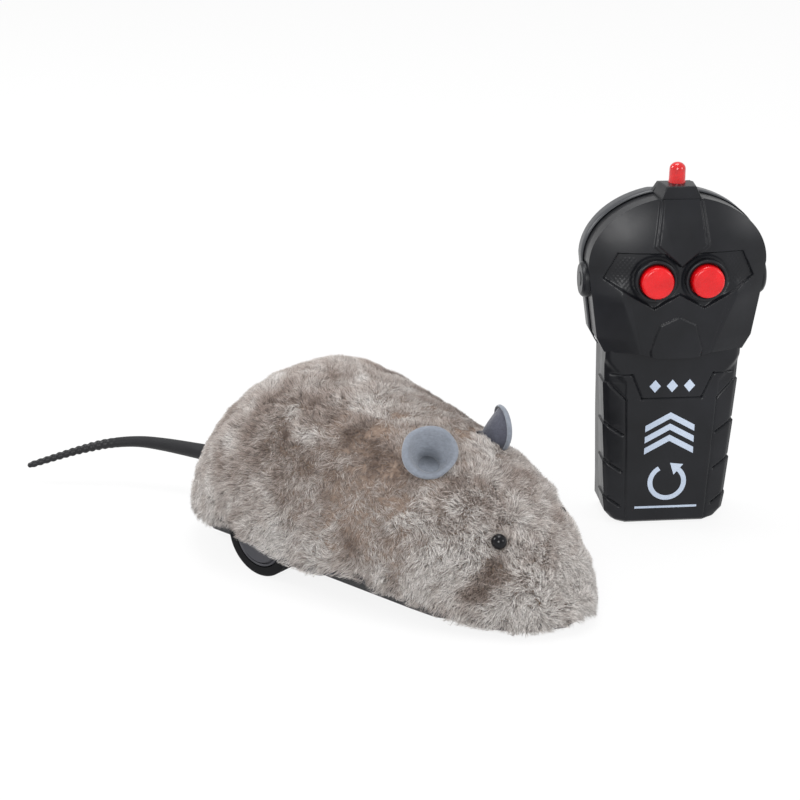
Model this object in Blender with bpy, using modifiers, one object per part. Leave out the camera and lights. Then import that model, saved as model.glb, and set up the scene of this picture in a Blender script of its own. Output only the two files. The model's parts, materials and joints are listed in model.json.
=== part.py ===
"""Remote-controlled plush mouse with its two-button hand control, in metres, +Z up.

The mouse stands on two driven rear wheels and a front caster, with its nose towards +X.
The hand control stands on its foot beside it. Everything is worked out from the sizes below.
"""
import math

import bmesh
import bpy
import numpy as np
from mathutils import Matrix, Vector

MM = 0.001

# Fits that every piece shares
GAP = 0.3 * MM
OVERRUN = 4 * MM

# Plush body, over the tips of the fur
BACK_CLEARANCE = 32.61 * MM
NOSE_OVERHANG = 15.38 * MM
REAR_CLEARANCE = 8.68 * MM
WHEEL_TUCK = 5.4 * MM
STATION_SHARES = (0, 0.012, 0.04, 0.08, 0.13, 0.19, 0.26, 0.34, 0.42, 0.5,
                  0.58, 0.66, 0.73, 0.8, 0.86, 0.91, 0.95, 0.98, 1)
OUTLINE_SHARES = (0, 0.012, 0.04, 0.12, 0.25, 0.38, 0.52, 0.66, 0.8, 0.9, 0.96, 1)
WIDTH_SHARES = (0.28, 0.44, 0.633, 0.86, 0.964, 0.958, 0.918, 0.846, 0.725, 0.545, 0.399, 0.194)
HEIGHT_SHARES = (0.25, 0.35, 0.532, 0.772, 0.948, 0.946, 0.883, 0.794, 0.642, 0.455, 0.326, 0.18)
HEM_SHARES = (0, 0.3, 1)
HEM_HEIGHTS = (9.5 * MM, 9.8 * MM, 1.8 * MM)
SIDE_POWER = 0.8
CROWN_POWER = 0.85
SECTION_STEPS = 14

# Skins from the fur inwards
COVER_INSET = 0.8 * MM
COVER_THICKNESS = 2.0 * MM
SHELL_CLEARANCE = 0.8 * MM
SHELL_WALL = 1.5 * MM
SEAM_HEIGHT = 12.0 * MM

# Rear wheels and axle
AXLE_X = 3.4 * MM
TYRE_RADIUS = 11.5 * MM
TYRE_WIDTH = 8.6 * MM
TYRE_DEPTH = 2.7 * MM
AXLE_RADIUS = 1.5 * MM
WHEEL_WALL = 1.6 * MM
WHEEL_BOSS_RADIUS = 3.4 * MM
WHEEL_RIM_DEPTH = 1.7 * MM
ARCH_CLEARANCE = 1.4 * MM

# Chassis tub
GROUND_CLEARANCE = 2.4 * MM
FLOOR_THICKNESS = 1.6 * MM
TUB_WALL = 1.6 * MM
TUB_INSET = 1.0 * MM
TUB_REAR_SETBACK = 7.52 * MM
TUB_HALF_WIDTH = 25.4 * MM
TUB_RIM = 1.8 * MM
TUB_FRONT_REACH = 8.2 * MM
WAIST_CLEARANCE = 2.6 * MM
WAIST_TAPER = 1.0
GEARBOX_CLEARANCE = 3.9 * MM

# Screws that hold the shells, a pair behind the axle
SCREW_RADIUS = 1.0 * MM
SCREW_HEAD_RADIUS = 2.0 * MM
SCREW_HEAD_HEIGHT = 1.2 * MM
BOSS_RADIUS = 2.6 * MM
BOSS_HEIGHT = 7.0 * MM
BOSS_SETBACK = 4.7 * MM
BOSS_SIDE_SHARE = 0.2558

# Gear train from the motor to the axle
MODULE = 0.5 * MM
PINION_TEETH = 8
WHEEL_TEETH = 26
SMALL_TEETH = 10
TOOTH_ADDENDUM_SHARE = 0.9
TOOTH_DEDENDUM_SHARE = 1.25
TOOTH_THINNING_SHARE = 0.14
PRESSURE_ANGLE = math.radians(20)
CENTRE_PLAY = 0.1 * MM
TRAIN_ANGLES = (math.radians(160), math.radians(150), math.radians(195))
GEAR_WIDTH = 3.0 * MM
GEAR_SPACING = 1.0 * MM
GEAR_PIN_RADIUS = 0.75 * MM
FRAME_Y = 3.0 * MM
PLATE_THICKNESS = 1.2 * MM
PLATE_MARGIN = 8.0 * MM
POST_RADIUS = 1.6 * MM
FRAME_SCREW_RADIUS = 0.6 * MM

# Motor
MOTOR_RADIUS = 10.0 * MM
MOTOR_FLAT_HALF = 7.55 * MM
MOTOR_CAN_LENGTH = 16.0 * MM
MOTOR_CAP_LENGTH = 3.4 * MM
MOTOR_SHAFT_RADIUS = 1.0 * MM
MOTOR_SHAFT_GRIP = 8.0 * MM

# Cells, the same AA size in the mouse and in the hand control
CELL_RADIUS = 7.2 * MM
CELL_LENGTH = 49.3 * MM
CELL_NUB_RADIUS = 2.7 * MM
CELL_NUB_LENGTH = 1.1 * MM
CONTACT_THICKNESS = 0.5 * MM
CONTACT_BUMP = 0.7 * MM
CONTACT_HALF = 4.5 * MM
CELL_PARTING = 0.4 * MM

# Battery box in the tub and its door underneath
BOX_CLEARANCE = 2.6 * MM
BOX_WALL = 1.4 * MM
BOX_SIDE_ROOM = 1.5 * MM
BOX_RISE = 1.1 * MM
DOOR_THICKNESS = 1.6 * MM
DOOR_HINGE_INSET = 0.8 * MM
DOOR_HINGE_GAP = 0.5 * MM

# Receiver board over the cells
BOARD_THICKNESS = 1.2 * MM
BOARD_LENGTH = 30.0 * MM
BOARD_HALF_WIDTH = 11.0 * MM
BOARD_CLEARANCE = 2.5 * MM

# Motor leads
WIRE_RADIUS = 0.6 * MM
WIRE_SPREAD = 2.0 * MM
WIRE_STEP = 3.0 * MM
WIRE_LEAN_SHARES = (1 / 3, 1 / 2, 0.6)

# Front caster
CASTER_SPACING = 7.2 * MM
CASTER_RADIUS = 4.0 * MM
CASTER_TRAIL = 2.5 * MM
CASTER_WIDTH = 3.2 * MM
CASTER_PIN_RADIUS = 0.6 * MM
FORK_LEG = 1.2 * MM
FORK_DISC = 1.5 * MM
STEM_RADIUS = 1.8 * MM
STEM_LENGTH = 1.6 * MM
WELL_ROOF = 1.1 * MM
CASTER_SCREW_RADIUS = 0.8 * MM
CASTER_HEAD_RADIUS = 3.2 * MM
FORK_DISC_CLEARANCE = 0.78 * MM

# Power switch under the tail end
SWITCH_SETBACK = 8.5 * MM
SWITCH_SIDE = -12.0 * MM
SWITCH_BODY = (10.0 * MM, 6.0 * MM, 4.2 * MM)
SWITCH_TRAVEL = 4.0 * MM
KNOB_SIZE = (3.0 * MM, 2.4 * MM)
KNOB_PROUD = 1.0 * MM

# Tail
TAIL_HEIGHT = 14.8 * MM
TAIL_LENGTH = 62.0 * MM
TAIL_ROOT_DEPTH = 3.82 * MM
TAIL_ROOT_RADIUS = 2.5 * MM
TAIL_TIP_RADIUS = 0.95 * MM
TAIL_HOLE_RADIUS = 3.8 * MM
TAIL_RIDGE_PITCH = 2.2 * MM
TAIL_RIDGES = 15
TAIL_RIDGE_SHARE = 0.2
TAIL_ROOT_ANGLES = tuple(math.radians(angle) for angle in (72, 48, 24, 0))
TAIL_SOCKET_SIZE = (3.4 * MM, 10.0 * MM, 7.2 * MM)
TAIL_ROUTE_SHARES = ((0, 0, 0.965), (0.177, 0.0097, 0.906), (0.403, 0.0903, 0.953),
                     (0.548, 0.1548, 0.953), (0.677, 0.2355, 0.872), (0.782, 0.3194, 0.736),
                     (0.871, 0.3968, 0.588), (1, 0.516, 0.358))

# Ears and eyes, on the right side; the left ones are their mirror image
EAR_RADIUS = 7.4 * MM
EAR_CUP = 3.0 * MM
EAR_THICKNESS = 1.0 * MM
EAR_RIM_SHARES = (0, 0.3, 0.6, 0.85, 1)
EAR_PLACE_SHARES = (0.6823, -0.1838)
EAR_RISE = 2.4 * MM
EAR_TURN = math.radians(-52)
EAR_TILT = math.radians(12)
EYE_RADIUS = 2.2 * MM
EYE_PLACE_SHARES = (0.8622, -0.1979)
EYE_SINK = 0.64 * MM

# Hand control: where it stands beside the mouse
REMOTE_X = 67.5 * MM
REMOTE_Y = 78.4 * MM
REMOTE_YAW = math.radians(45)

# Hand control: handle outline, half of it from the foot upwards
HANDLE_SIDE_ROOM = 5.2 * MM
HANDLE_WIDTH_SHARES = (0.77, 0.92, 0.928, 0.95, 0.97, 1.0)
HANDLE_OVERLAP = 6.2 * MM
HANDLE_HEIGHT_SHARES = (0, 0.065, 0.18, 0.37, 0.55, 1.0)
CELL_FRONT_CLEARANCE = 0.8 * MM
CELL_BACK_CLEARANCE = 0.6 * MM
HANDLE_EDGE = 1.6 * MM

# Hand control: head outline, half of it from the chin to the crown
HEAD_HALF_WIDTH = 26.3 * MM
HEAD_LIP = 1.8 * MM
HEAD_HEIGHT = 47.2 * MM
HEAD_OUTLINE_SHARES = ((0.20, 0.0), (0.41, 0.035), (0.77, 0.035), (0.88, 0.125), (0.97, 0.47),
                       (1.0, 0.63), (0.96, 0.73), (0.865, 0.80), (0.755, 0.86), (0.62, 0.915),
                       (0.45, 0.965), (0.26, 1.0))
HEAD_CENTRE_SHARE = 0.49
HEAD_EDGE_FRONT = -6.5 * MM
HEAD_DOME = 6.0 * MM
HEAD_EDGE_BACK = 8.0 * MM
HEAD_BACK_DOME = 3.0 * MM
HEAD_RING_SHARES = (1.0, 0.93, 0.82, 0.66, 0.46, 0.24)
HEAD_BACK_SHARES = ((1.0, 0), (0.93, 0.6), (0.8, 1))
HEAD_DOME_POWER = 2.2

# Hand control: walls and split
REMOTE_WALL = 1.7 * MM
REMOTE_SEAM = 1.6 * MM
CELL_HEAD_CLEARANCE = 1.4 * MM
DIVIDER_THICKNESS = 1.6 * MM
ANTENNA_HALF_SHARES = (0.262, 0.187)
ANTENNA_RISE = 3.0 * MM
ANTENNA_DEPTH = (-5.0 * MM, 4.0 * MM)
LIGHT_RADIUS = 2.15 * MM
LIGHT_PROUD = 7.0 * MM
LIGHT_ROOT = 5.0 * MM
LIGHT_TOP_SHARES = ((0, 0), (0.6, 0.2), (1, 0.9))

# Hand control: face
PANEL_RECESS = 1.4 * MM
PANEL_SINK = 0.5 * MM
PANEL_THICKNESS = 0.6 * MM
PANEL_SHARES = ((0, 0.602), (0.2, 0.69), (0.703, 0.69), (0.852, 0.53), (0.285, 0.335), (0, 0.428))
SPEAR_SHARES = ((0, 0.612), (0.283, 0.733), (0.215, 0.955))
SPEAR_PROUD = 0.9 * MM
BUTTON_ACROSS_SHARE = 0.2814
BUTTON_UP_SHARE = 0.515
BUTTON_RADIUS = 4.75 * MM
BUTTON_PROUD = 2.5 * MM
BUTTON_DOME = 0.7 * MM
BUTTON_DOME_SHARES = ((0, 0), (0.55, 0.17), (0.85, 0.5), (1, 1.4))
BUTTON_FLANGE_RADIUS = 5.8 * MM
BUTTON_FLANGE_DEPTH = 3.9 * MM
BUTTON_FLANGE = 1.0 * MM
BUTTON_TRAVEL = 1.5 * MM
COLLAR_WALL = 1.1 * MM
COLLAR_PROUD = 0.6 * MM
SIDE_CAP_RADIUS = 5.4 * MM
SIDE_CAP_PROUD = 1.4 * MM
SIDE_CAP_PEG = 1.6 * MM
SIDE_CAP_UP_SHARE = 0.47
SIDE_CAP_FLAT_SHARE = 0.8
GROOVE_WIDTH = 0.8 * MM
GROOVE_DEPTH = 0.6 * MM
NOTCH_DEPTH = 0.9 * MM
NOTCH_WIDTH = 2.4 * MM
NOTCH_HEIGHT_SHARES = (0.155, 0.345, 0.535)
NOTCH_REACH_SHARE = 0.25
NOTCH_ANGLE = math.radians(33)
CHIN_GROOVE_SHARES = (((0.41, 0.04), (0.33, 0.30)), ((0.0, 0.28), (0.2, 0.38)))
HANDLE_GROOVE_SHARES = (((0.63, 0.8), (0.47, 0.69)), ((0, 0.69), (0.47, 0.69)),
                        ((0.7, 0.67), (0.65, 0.06)))

# Hand control: inside
PAD_HEIGHT = 1.9 * MM
REMOTE_BOARD_SHARE = 0.5095
REMOTE_BOARD_UP_SHARES = (0.174, 0.809)
REMOTE_CELL_Y = 1.2 * MM
REMOTE_POST_SHARES = ((0.654, 0.258), (0.608, 0.703))
REMOTE_DOOR_BASE = 7.0 * MM
REMOTE_DOOR_DROP = 1.8 * MM
REMOTE_DOOR_ROOM = 0.8 * MM
PAD_RADIUS = 3.6 * MM
PAD_SHEET = 0.6 * MM
PAD_TAPER_SHARES = (0.9, 0.65)

SMOOTH_ANGLE = math.radians(38)
FLAT_ANGLE = math.radians(0.06)
WELD_DISTANCE = 0.001 * MM
TURN_WELD_DISTANCE = 0.01 * MM
FINE_STEPS = 24
STEPS = 16
SMALL_STEPS = 8

for old in list(bpy.data.objects):
    bpy.data.objects.remove(old)

PARTS = bpy.data.collections.new("mouse_and_remote")
CUTTERS = bpy.data.collections.new("cutters")
bpy.context.scene.collection.children.link(PARTS)
bpy.context.scene.collection.children.link(CUTTERS)
PLACES = {}


def finish(name, colour, roughness, metallic=0.0):
    material = bpy.data.materials.new(name)
    material.use_nodes = True
    shader = material.node_tree.nodes["Principled BSDF"]
    shader.inputs["Base Color"].default_value = (*colour, 1)
    shader.inputs["Roughness"].default_value = roughness
    shader.inputs["Metallic"].default_value = metallic
    return material


LOOKS = {
    "plush": ((0.36, 0.31, 0.27), 0.95, 0),
    "felt": ((0.16, 0.18, 0.21), 0.95, 0),
    "rubber": ((0.012, 0.012, 0.014), 0.6, 0),
    "black_plastic": ((0.02, 0.02, 0.022), 0.45, 0),
    "glossy_black": ((0.008, 0.008, 0.009), 0.15, 0),
    "red_plastic": ((0.8, 0.02, 0.015), 0.35, 0),
    "red_lens": ((0.75, 0.03, 0.02), 0.15, 0),
    "white_plastic": ((0.75, 0.75, 0.72), 0.45, 0),
    "steel": ((0.62, 0.62, 0.64), 0.3, 1),
    "cell": ((0.1, 0.12, 0.14), 0.4, 0),
    "board": ((0.03, 0.2, 0.07), 0.5, 0),
    "wire": ((0.5, 0.03, 0.02), 0.5, 0),
}


def add_place(name, point, parent=None):
    """An empty that carries pieces; pieces keep the coordinates of their whole assembly."""
    empty = bpy.data.objects.new(name, None)
    PARTS.objects.link(empty)
    offset = Vector(point)
    if parent is None:
        PLACES[name] = (empty, Vector((0, 0, 0)))
        empty.location = offset
    else:
        carrier, carrier_offset = PLACES[parent]
        empty.parent = carrier
        empty.location = offset - carrier_offset
        PLACES[name] = (empty, offset)
    return empty


def add(name, data, place, look=None, spot=(0, 0, 0), turn=None):
    """Puts a mesh, a bmesh or a curve in the model: a part if it has a look, else a cutter."""
    if isinstance(data, bmesh.types.BMesh):
        mesh = bpy.data.meshes.new(name)
        data.to_mesh(mesh)
        data.free()
        data = mesh
    thing = bpy.data.objects.new(name, data)
    carrier, offset = PLACES[place]
    thing.parent = carrier
    thing.location = Vector(spot) - offset
    if turn is not None:
        thing.rotation_euler = turn.to_euler()
    if look is None:
        CUTTERS.objects.link(thing)
        thing.hide_render = True
        thing.display_type = "WIRE"
        return thing
    PARTS.objects.link(thing)
    data.materials.append(finish(name, *LOOKS[look]))
    if isinstance(data, bpy.types.Mesh):
        data.shade_smooth()
        data.set_sharp_from_angle(angle=SMOOTH_ANGLE)
    return thing


def boolean(thing, tool, operation):
    step = thing.modifiers.new(f"{operation.lower()}_{tool.name}", "BOOLEAN")
    step.operation = operation
    step.object = tool
    step.solver = "EXACT"


def cut(thing, *tools):
    for tool in tools:
        boolean(thing, tool, "DIFFERENCE")


def unite(thing, *tools):
    for tool in tools:
        boolean(thing, tool, "UNION")


def keep(thing, tool):
    boolean(thing, tool, "INTERSECT")


def soften(thing, width, segments=2):
    step = thing.modifiers.new("edges", "BEVEL")
    step.width = width
    step.segments = segments
    step.limit_method = "ANGLE"
    step.angle_limit = SMOOTH_ANGLE


def block(low, high):
    shape = bmesh.new()
    bmesh.ops.create_cube(shape, size=1)
    low, high = Vector(low), Vector(high)
    bmesh.ops.scale(shape, vec=high - low, verts=shape.verts)
    bmesh.ops.translate(shape, vec=(low + high) / 2, verts=shape.verts)
    return shape


def rod(start, end, radius, steps=STEPS, end_radius=None):
    """A cylinder or cone between two points."""
    start, end = Vector(start), Vector(end)
    shape = bmesh.new()
    bmesh.ops.create_cone(shape, cap_ends=True, segments=steps, radius1=radius,
                          radius2=radius if end_radius is None else end_radius,
                          depth=(end - start).length)
    turn = Vector((0, 0, 1)).rotation_difference(end - start).to_matrix().to_4x4()
    bmesh.ops.transform(shape, matrix=Matrix.Translation((start + end) / 2) @ turn, verts=shape.verts)
    return shape


def group(*shapes):
    """Several closed shapes in one mesh, each still a solid of its own."""
    whole = bmesh.new()
    for shape in shapes:
        mesh = bpy.data.meshes.new("piece")
        shape.to_mesh(mesh)
        shape.free()
        whole.from_mesh(mesh)
        bpy.data.meshes.remove(mesh)
    return whole


def slab(outline, low, high, axis="Y"):
    """A flat outline extruded from low to high: in X and Z along Y, or in X and Y along Z."""
    curve = bpy.data.curves.new("outline", "CURVE")
    curve.dimensions = "2D"
    curve.fill_mode = "BOTH"
    curve.extrude = (high - low) / 2
    line = curve.splines.new("POLY")
    line.points.add(len(outline) - 1)
    for point, (across, up) in zip(line.points, outline):
        point.co = (across, up, 0, 1)
    line.use_cyclic_u = True
    holder = bpy.data.objects.new("outline", curve)
    CUTTERS.objects.link(holder)
    bpy.context.view_layer.update()
    mesh = bpy.data.meshes.new_from_object(holder.evaluated_get(bpy.context.evaluated_depsgraph_get()))
    shape = bmesh.new()
    shape.from_mesh(mesh)
    bmesh.ops.remove_doubles(shape, verts=shape.verts, dist=WELD_DISTANCE)
    bmesh.ops.dissolve_limit(shape, angle_limit=FLAT_ANGLE, verts=shape.verts, edges=shape.edges)
    if axis == "Y":
        bmesh.ops.rotate(shape, matrix=Matrix.Rotation(math.pi / 2, 3, "X"), verts=shape.verts)
        bmesh.ops.translate(shape, vec=(0, (low + high) / 2, 0), verts=shape.verts)
    else:
        bmesh.ops.translate(shape, vec=(0, 0, (low + high) / 2), verts=shape.verts)
    bmesh.ops.recalc_face_normals(shape, faces=shape.faces)
    bpy.data.objects.remove(holder)
    bpy.data.curves.remove(curve)
    bpy.data.meshes.remove(mesh)
    return shape


def turned(name, profile, spot, axis, place, look=None, steps=FINE_STEPS, ring=False):
    """A profile of (radius, height) points turned round an axis, top to bottom on its outer side."""
    mesh = bpy.data.meshes.new(name)
    points = [(radius, 0, height) for radius, height in profile]
    links = [(i, i + 1) for i in range(len(points) - 1)]
    if ring:
        links.append((len(points) - 1, 0))
    mesh.from_pydata(points, links, [])
    turn = Vector((0, 0, 1)).rotation_difference(Vector(axis)).to_matrix()
    thing = add(name, mesh, place, look, spot, turn)
    screw = thing.modifiers.new("turn", "SCREW")
    screw.steps = steps
    screw.render_steps = steps
    screw.use_merge_vertices = True
    screw.merge_threshold = TURN_WELD_DISTANCE
    return thing


def loft(rings, closed):
    """A skin through rings of points, with a face over each end."""
    shape = bmesh.new()
    rows = [[shape.verts.new(point) for point in ring] for ring in rings]
    count = len(rows[0])
    for row, following in zip(rows, rows[1:]):
        for i in range(count if closed else count - 1):
            j = (i + 1) % count
            shape.faces.new((row[i], row[j], following[j], following[i]))
    shape.faces.new(list(reversed(rows[0])))
    shape.faces.new(rows[-1])
    bmesh.ops.recalc_face_normals(shape, faces=shape.faces)
    return shape


def smooth_value(share, stations, values):
    """A smooth curve through a table of values."""
    slopes = np.gradient(values, stations)
    i = int(np.clip(np.searchsorted(stations, share) - 1, 0, len(stations) - 2))
    width = stations[i + 1] - stations[i]
    t = (share - stations[i]) / width
    return float((2 * t**3 - 3 * t**2 + 1) * values[i] + (t**3 - 2 * t**2 + t) * width * slopes[i]
                 + (3 * t**2 - 2 * t**3) * values[i + 1] + (t**3 - t**2) * width * slopes[i + 1])


def body_sizes(share):
    half = body_width / 2 * smooth_value(share, OUTLINE_SHARES, WIDTH_SHARES)
    top = body_height * smooth_value(share, OUTLINE_SHARES, HEIGHT_SHARES)
    hem = smooth_value(share, HEM_SHARES, HEM_HEIGHTS)
    return half, top, hem


def body_skin(inset, closed=False):
    """The body's surface, moved in along its normals; open along the hem unless closed."""
    rings = []
    for share in STATION_SHARES:
        half, top, hem = body_sizes(share)
        ring = []
        for step in range(SECTION_STEPS + 1):
            angle = math.pi * step / SECTION_STEPS
            across = -math.cos(angle)
            ring.append((body_rear_x + share * body_length,
                         half * math.copysign(abs(across)**SIDE_POWER, across),
                         hem + (top - hem) * abs(math.sin(angle))**CROWN_POWER))
        rings.append(ring)
    shape = loft(rings, closed=False)
    outward = shape.faces[len(shape.faces) // 2].normal
    if outward.z < 0:
        bmesh.ops.reverse_faces(shape, faces=shape.faces)
    shape.normal_update()
    moves = [vert.normal * -inset * vert.calc_shell_factor() for vert in shape.verts]
    for vert, move in zip(shape.verts, moves):
        vert.co += move
    if closed:
        bmesh.ops.holes_fill(shape, edges=shape.edges)
        bmesh.ops.recalc_face_normals(shape, faces=shape.faces)
    return shape


def body_side(x, z, inset):
    """Half the body's width at a place along it and a height, less the inset."""
    half, top, hem = body_sizes((x - body_rear_x) / body_length)
    rise = (z - hem) / (top - inset - hem)
    if rise >= 1:
        return 0
    angle = math.asin(max(rise, 0)**(1 / CROWN_POWER))
    return max(half * math.cos(angle)**SIDE_POWER - inset, 0)


def body_place(along_share, across_share):
    return body_rear_x + body_length * along_share, body_width * across_share


def body_top(x, y):
    """Height of the fur at a place."""
    half, top, hem = body_sizes((x - body_rear_x) / body_length)
    angle = math.acos(min(abs(y) / half, 1)**(1 / SIDE_POWER))
    return hem + (top - hem) * math.sin(angle)**CROWN_POWER


def gear_outline(teeth, phase, middle):
    """Straight-flanked teeth a little inside the true involute, so that they turn freely."""
    pitch = teeth * MODULE / 2
    base = pitch * math.cos(PRESSURE_ANGLE)
    root = pitch - TOOTH_DEDENDUM_SHARE * MODULE
    tip = pitch + TOOTH_ADDENDUM_SHARE * MODULE
    pressure = math.tan(PRESSURE_ANGLE) - PRESSURE_ANGLE
    half = math.pi / (2 * teeth) * (1 - TOOTH_THINNING_SHARE) + pressure
    rolled = math.acos(base / tip)
    tip_half = half - (math.tan(rolled) - rolled)
    outline = []
    for tooth in range(teeth):
        angle = phase + 2 * math.pi * tooth / teeth
        for radius, span in ((root, -half), (tip, -tip_half), (tip, tip_half), (root, half)):
            outline.append((middle[0] + radius * math.cos(angle + span),
                            middle[1] + radius * math.sin(angle + span)))
    return outline


def mesh_phase(teeth, phase, partner_teeth, direction):
    """Phase that puts a partner's gap opposite a tooth, with the partner lying in that direction."""
    lead = (direction - phase) * teeth / (2 * math.pi)
    return direction + math.pi - 2 * math.pi / partner_teeth * (0.5 - lead)


def outer_radius(teeth):
    return (teeth / 2 + TOOTH_ADDENDUM_SHARE) * MODULE


def mirrored(outline):
    """A closed outline from its right half, which starts and ends on or beside the middle."""
    left = [(-across, up) for across, up in reversed(outline) if across > 0]
    return list(outline) + left


def step_from(point, distance, angle):
    return (point[0] + distance * math.cos(angle), point[1] + distance * math.sin(angle))


# Drive train, worked out from the sizes
axle_z = TYRE_RADIUS
wheel_distance = (WHEEL_TEETH + SMALL_TEETH) * MODULE / 2 + CENTRE_PLAY
pinion_distance = (WHEEL_TEETH + PINION_TEETH) * MODULE / 2 + CENTRE_PLAY
axle_centre = (AXLE_X, axle_z)
compound_b = step_from(axle_centre, wheel_distance, TRAIN_ANGLES[0])
compound_a = step_from(compound_b, wheel_distance, TRAIN_ANGLES[1])
motor_centre = step_from(compound_a, pinion_distance, TRAIN_ANGLES[2])
first_gear_y = FRAME_Y + PLATE_THICKNESS + GEAR_SPACING
second_gear_y = first_gear_y + GEAR_WIDTH + GEAR_SPACING
third_gear_y = second_gear_y + GEAR_WIDTH + GEAR_SPACING
cover_plate_y = third_gear_y + GEAR_WIDTH + GEAR_SPACING

# Wheels outside the gearbox, and the body outside them
tub_waist_half = cover_plate_y + PLATE_THICKNESS + GEARBOX_CLEARANCE
wheel_inner_y = tub_waist_half + WAIST_CLEARANCE
wheel_outer_y = wheel_inner_y + TYRE_WIDTH
body_width = 2 * (wheel_outer_y + WHEEL_TUCK)

# Cells and their box, in front of the gearbox
tub_floor = GROUND_CLEARANCE + FLOOR_THICKNESS
tub_top = SEAM_HEIGHT - GAP
cell_spread = CELL_RADIUS + CELL_PARTING
cell_axis_z = tub_floor + GAP + CELL_RADIUS
box_rear_x = AXLE_X + PLATE_MARGIN + BOX_CLEARANCE
box_half = cell_spread + CELL_RADIUS + GAP + BOX_WALL + BOX_SIDE_ROOM
box_top = cell_axis_z + BOX_RISE
board_base = cell_axis_z + CELL_RADIUS + BOARD_CLEARANCE
box_inside_x = box_rear_x + BOX_WALL
contact_room = GAP + CONTACT_THICKNESS + CONTACT_BUMP + GAP
cell_rear_x = box_inside_x + contact_room
box_front_inside_x = cell_rear_x + CELL_LENGTH + CELL_NUB_LENGTH + contact_room
box_front_x = box_front_inside_x + BOX_WALL
door_rear_x = box_inside_x + DOOR_HINGE_GAP
door_front_x = box_front_inside_x - GAP
door_half = box_half - BOX_WALL - GAP
door_axis = (door_rear_x + DOOR_HINGE_INSET, 0, GROUND_CLEARANCE + DOOR_THICKNESS / 2)

# Caster, and the body and the tub from behind the motor to past the caster
caster_x = box_front_x + CASTER_SPACING
fork_axle_x = caster_x - CASTER_TRAIL
fork_disc_z = 2 * CASTER_RADIUS + FORK_DISC_CLEARANCE
well_radius = CASTER_TRAIL + CASTER_RADIUS + 2 * GAP
well_top = fork_disc_z + FORK_DISC + GAP
body_rear_x = motor_centre[0] - MOTOR_RADIUS - REAR_CLEARANCE
body_length = caster_x + NOSE_OVERHANG - body_rear_x
body_height = motor_centre[1] + MOTOR_FLAT_HALF + BACK_CLEARANCE
shell_inset = COVER_INSET + COVER_THICKNESS + SHELL_CLEARANCE
tub_inset = shell_inset + TUB_INSET
tub_rear_x = body_rear_x + TUB_REAR_SETBACK
tub_front_x = caster_x + TUB_FRONT_REACH
rear_boss_place = (tub_rear_x + BOSS_SETBACK, body_width * BOSS_SIDE_SHARE)
switch_place = (tub_rear_x + SWITCH_SETBACK, SWITCH_SIDE)
tail_pivot_x = body_rear_x + TAIL_ROOT_DEPTH

# Hand control: the handle round its cells, and the head over them
handle_front = REMOTE_CELL_Y - CELL_RADIUS - CELL_FRONT_CLEARANCE - REMOTE_WALL
handle_back = REMOTE_CELL_Y + CELL_RADIUS + CELL_BACK_CLEARANCE + DOOR_THICKNESS
handle_half_width = cell_spread + CELL_RADIUS + HANDLE_SIDE_ROOM
remote_cell_base = REMOTE_WALL + contact_room + GAP
divider_base = remote_cell_base + CELL_LENGTH + CELL_NUB_LENGTH + CELL_HEAD_CLEARANCE
head_base = divider_base - HEAD_LIP
handle_top = head_base + HANDLE_OVERLAP
antenna_top = head_base + HEAD_HEIGHT + ANTENNA_RISE
light_top = antenna_top + LIGHT_PROUD
button_x = HEAD_HALF_WIDTH * BUTTON_ACROSS_SHARE
button_z = head_base + HEAD_HEIGHT * BUTTON_UP_SHARE
side_cap_z = head_base + HEAD_HEIGHT * SIDE_CAP_UP_SHARE
face_y = HEAD_EDGE_FRONT - HEAD_DOME
button_face = face_y - BUTTON_PROUD
collar_face = face_y - COLLAR_PROUD
button_flange_y = face_y + BUTTON_FLANGE_DEPTH
remote_board_y = button_flange_y + BUTTON_FLANGE + BUTTON_TRAVEL + GAP + PAD_HEIGHT + GAP
remote_board_half = HEAD_HALF_WIDTH * REMOTE_BOARD_SHARE
remote_board_z = tuple(head_base + HEAD_HEIGHT * share for share in REMOTE_BOARD_UP_SHARES)
remote_posts = tuple((HEAD_HALF_WIDTH * wide, head_base + HEAD_HEIGHT * up)
                     for wide, up in REMOTE_POST_SHARES)
remote_door_z = (REMOTE_DOOR_BASE, head_base - REMOTE_DOOR_DROP)
remote_door_half = cell_spread + CELL_RADIUS + REMOTE_DOOR_ROOM

add_place("whole_set", (0, 0, 0))
add_place("mouse", (0, 0, 0), "whole_set")
add_place("rear_axle_pivot", (AXLE_X, 0, axle_z), "mouse")
add_place("compound_a_pivot", (compound_a[0], 0, compound_a[1]), "mouse")
add_place("compound_b_pivot", (compound_b[0], 0, compound_b[1]), "mouse")
add_place("motor_pivot", (motor_centre[0], 0, motor_centre[1]), "mouse")
add_place("caster_pivot", (caster_x, 0, CASTER_RADIUS), "mouse")
add_place("caster_wheel_pivot", (fork_axle_x, 0, CASTER_RADIUS), "caster_pivot")
add_place("switch_pivot", (*switch_place, GROUND_CLEARANCE), "mouse")
add_place("battery_door_pivot", door_axis, "mouse")
add_place("tail_pivot", (tail_pivot_x, 0, TAIL_HEIGHT), "mouse")


def plan_half(x, widest):
    """Half the tub's width: inside the shell's edge, and narrow between the rear wheels."""
    half = min(body_side(x, tub_top, tub_inset), body_side(x - tub_inset, tub_top, tub_inset))
    past_waist = max(0, abs(x - AXLE_X) - TYRE_RADIUS - ARCH_CLEARANCE)
    if widest and x < AXLE_X:
        past_waist = min(past_waist, 3 * GAP)
    half = min(half, tub_waist_half + WAIST_TAPER * past_waist)
    return min(half, widest) if widest else half


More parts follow.
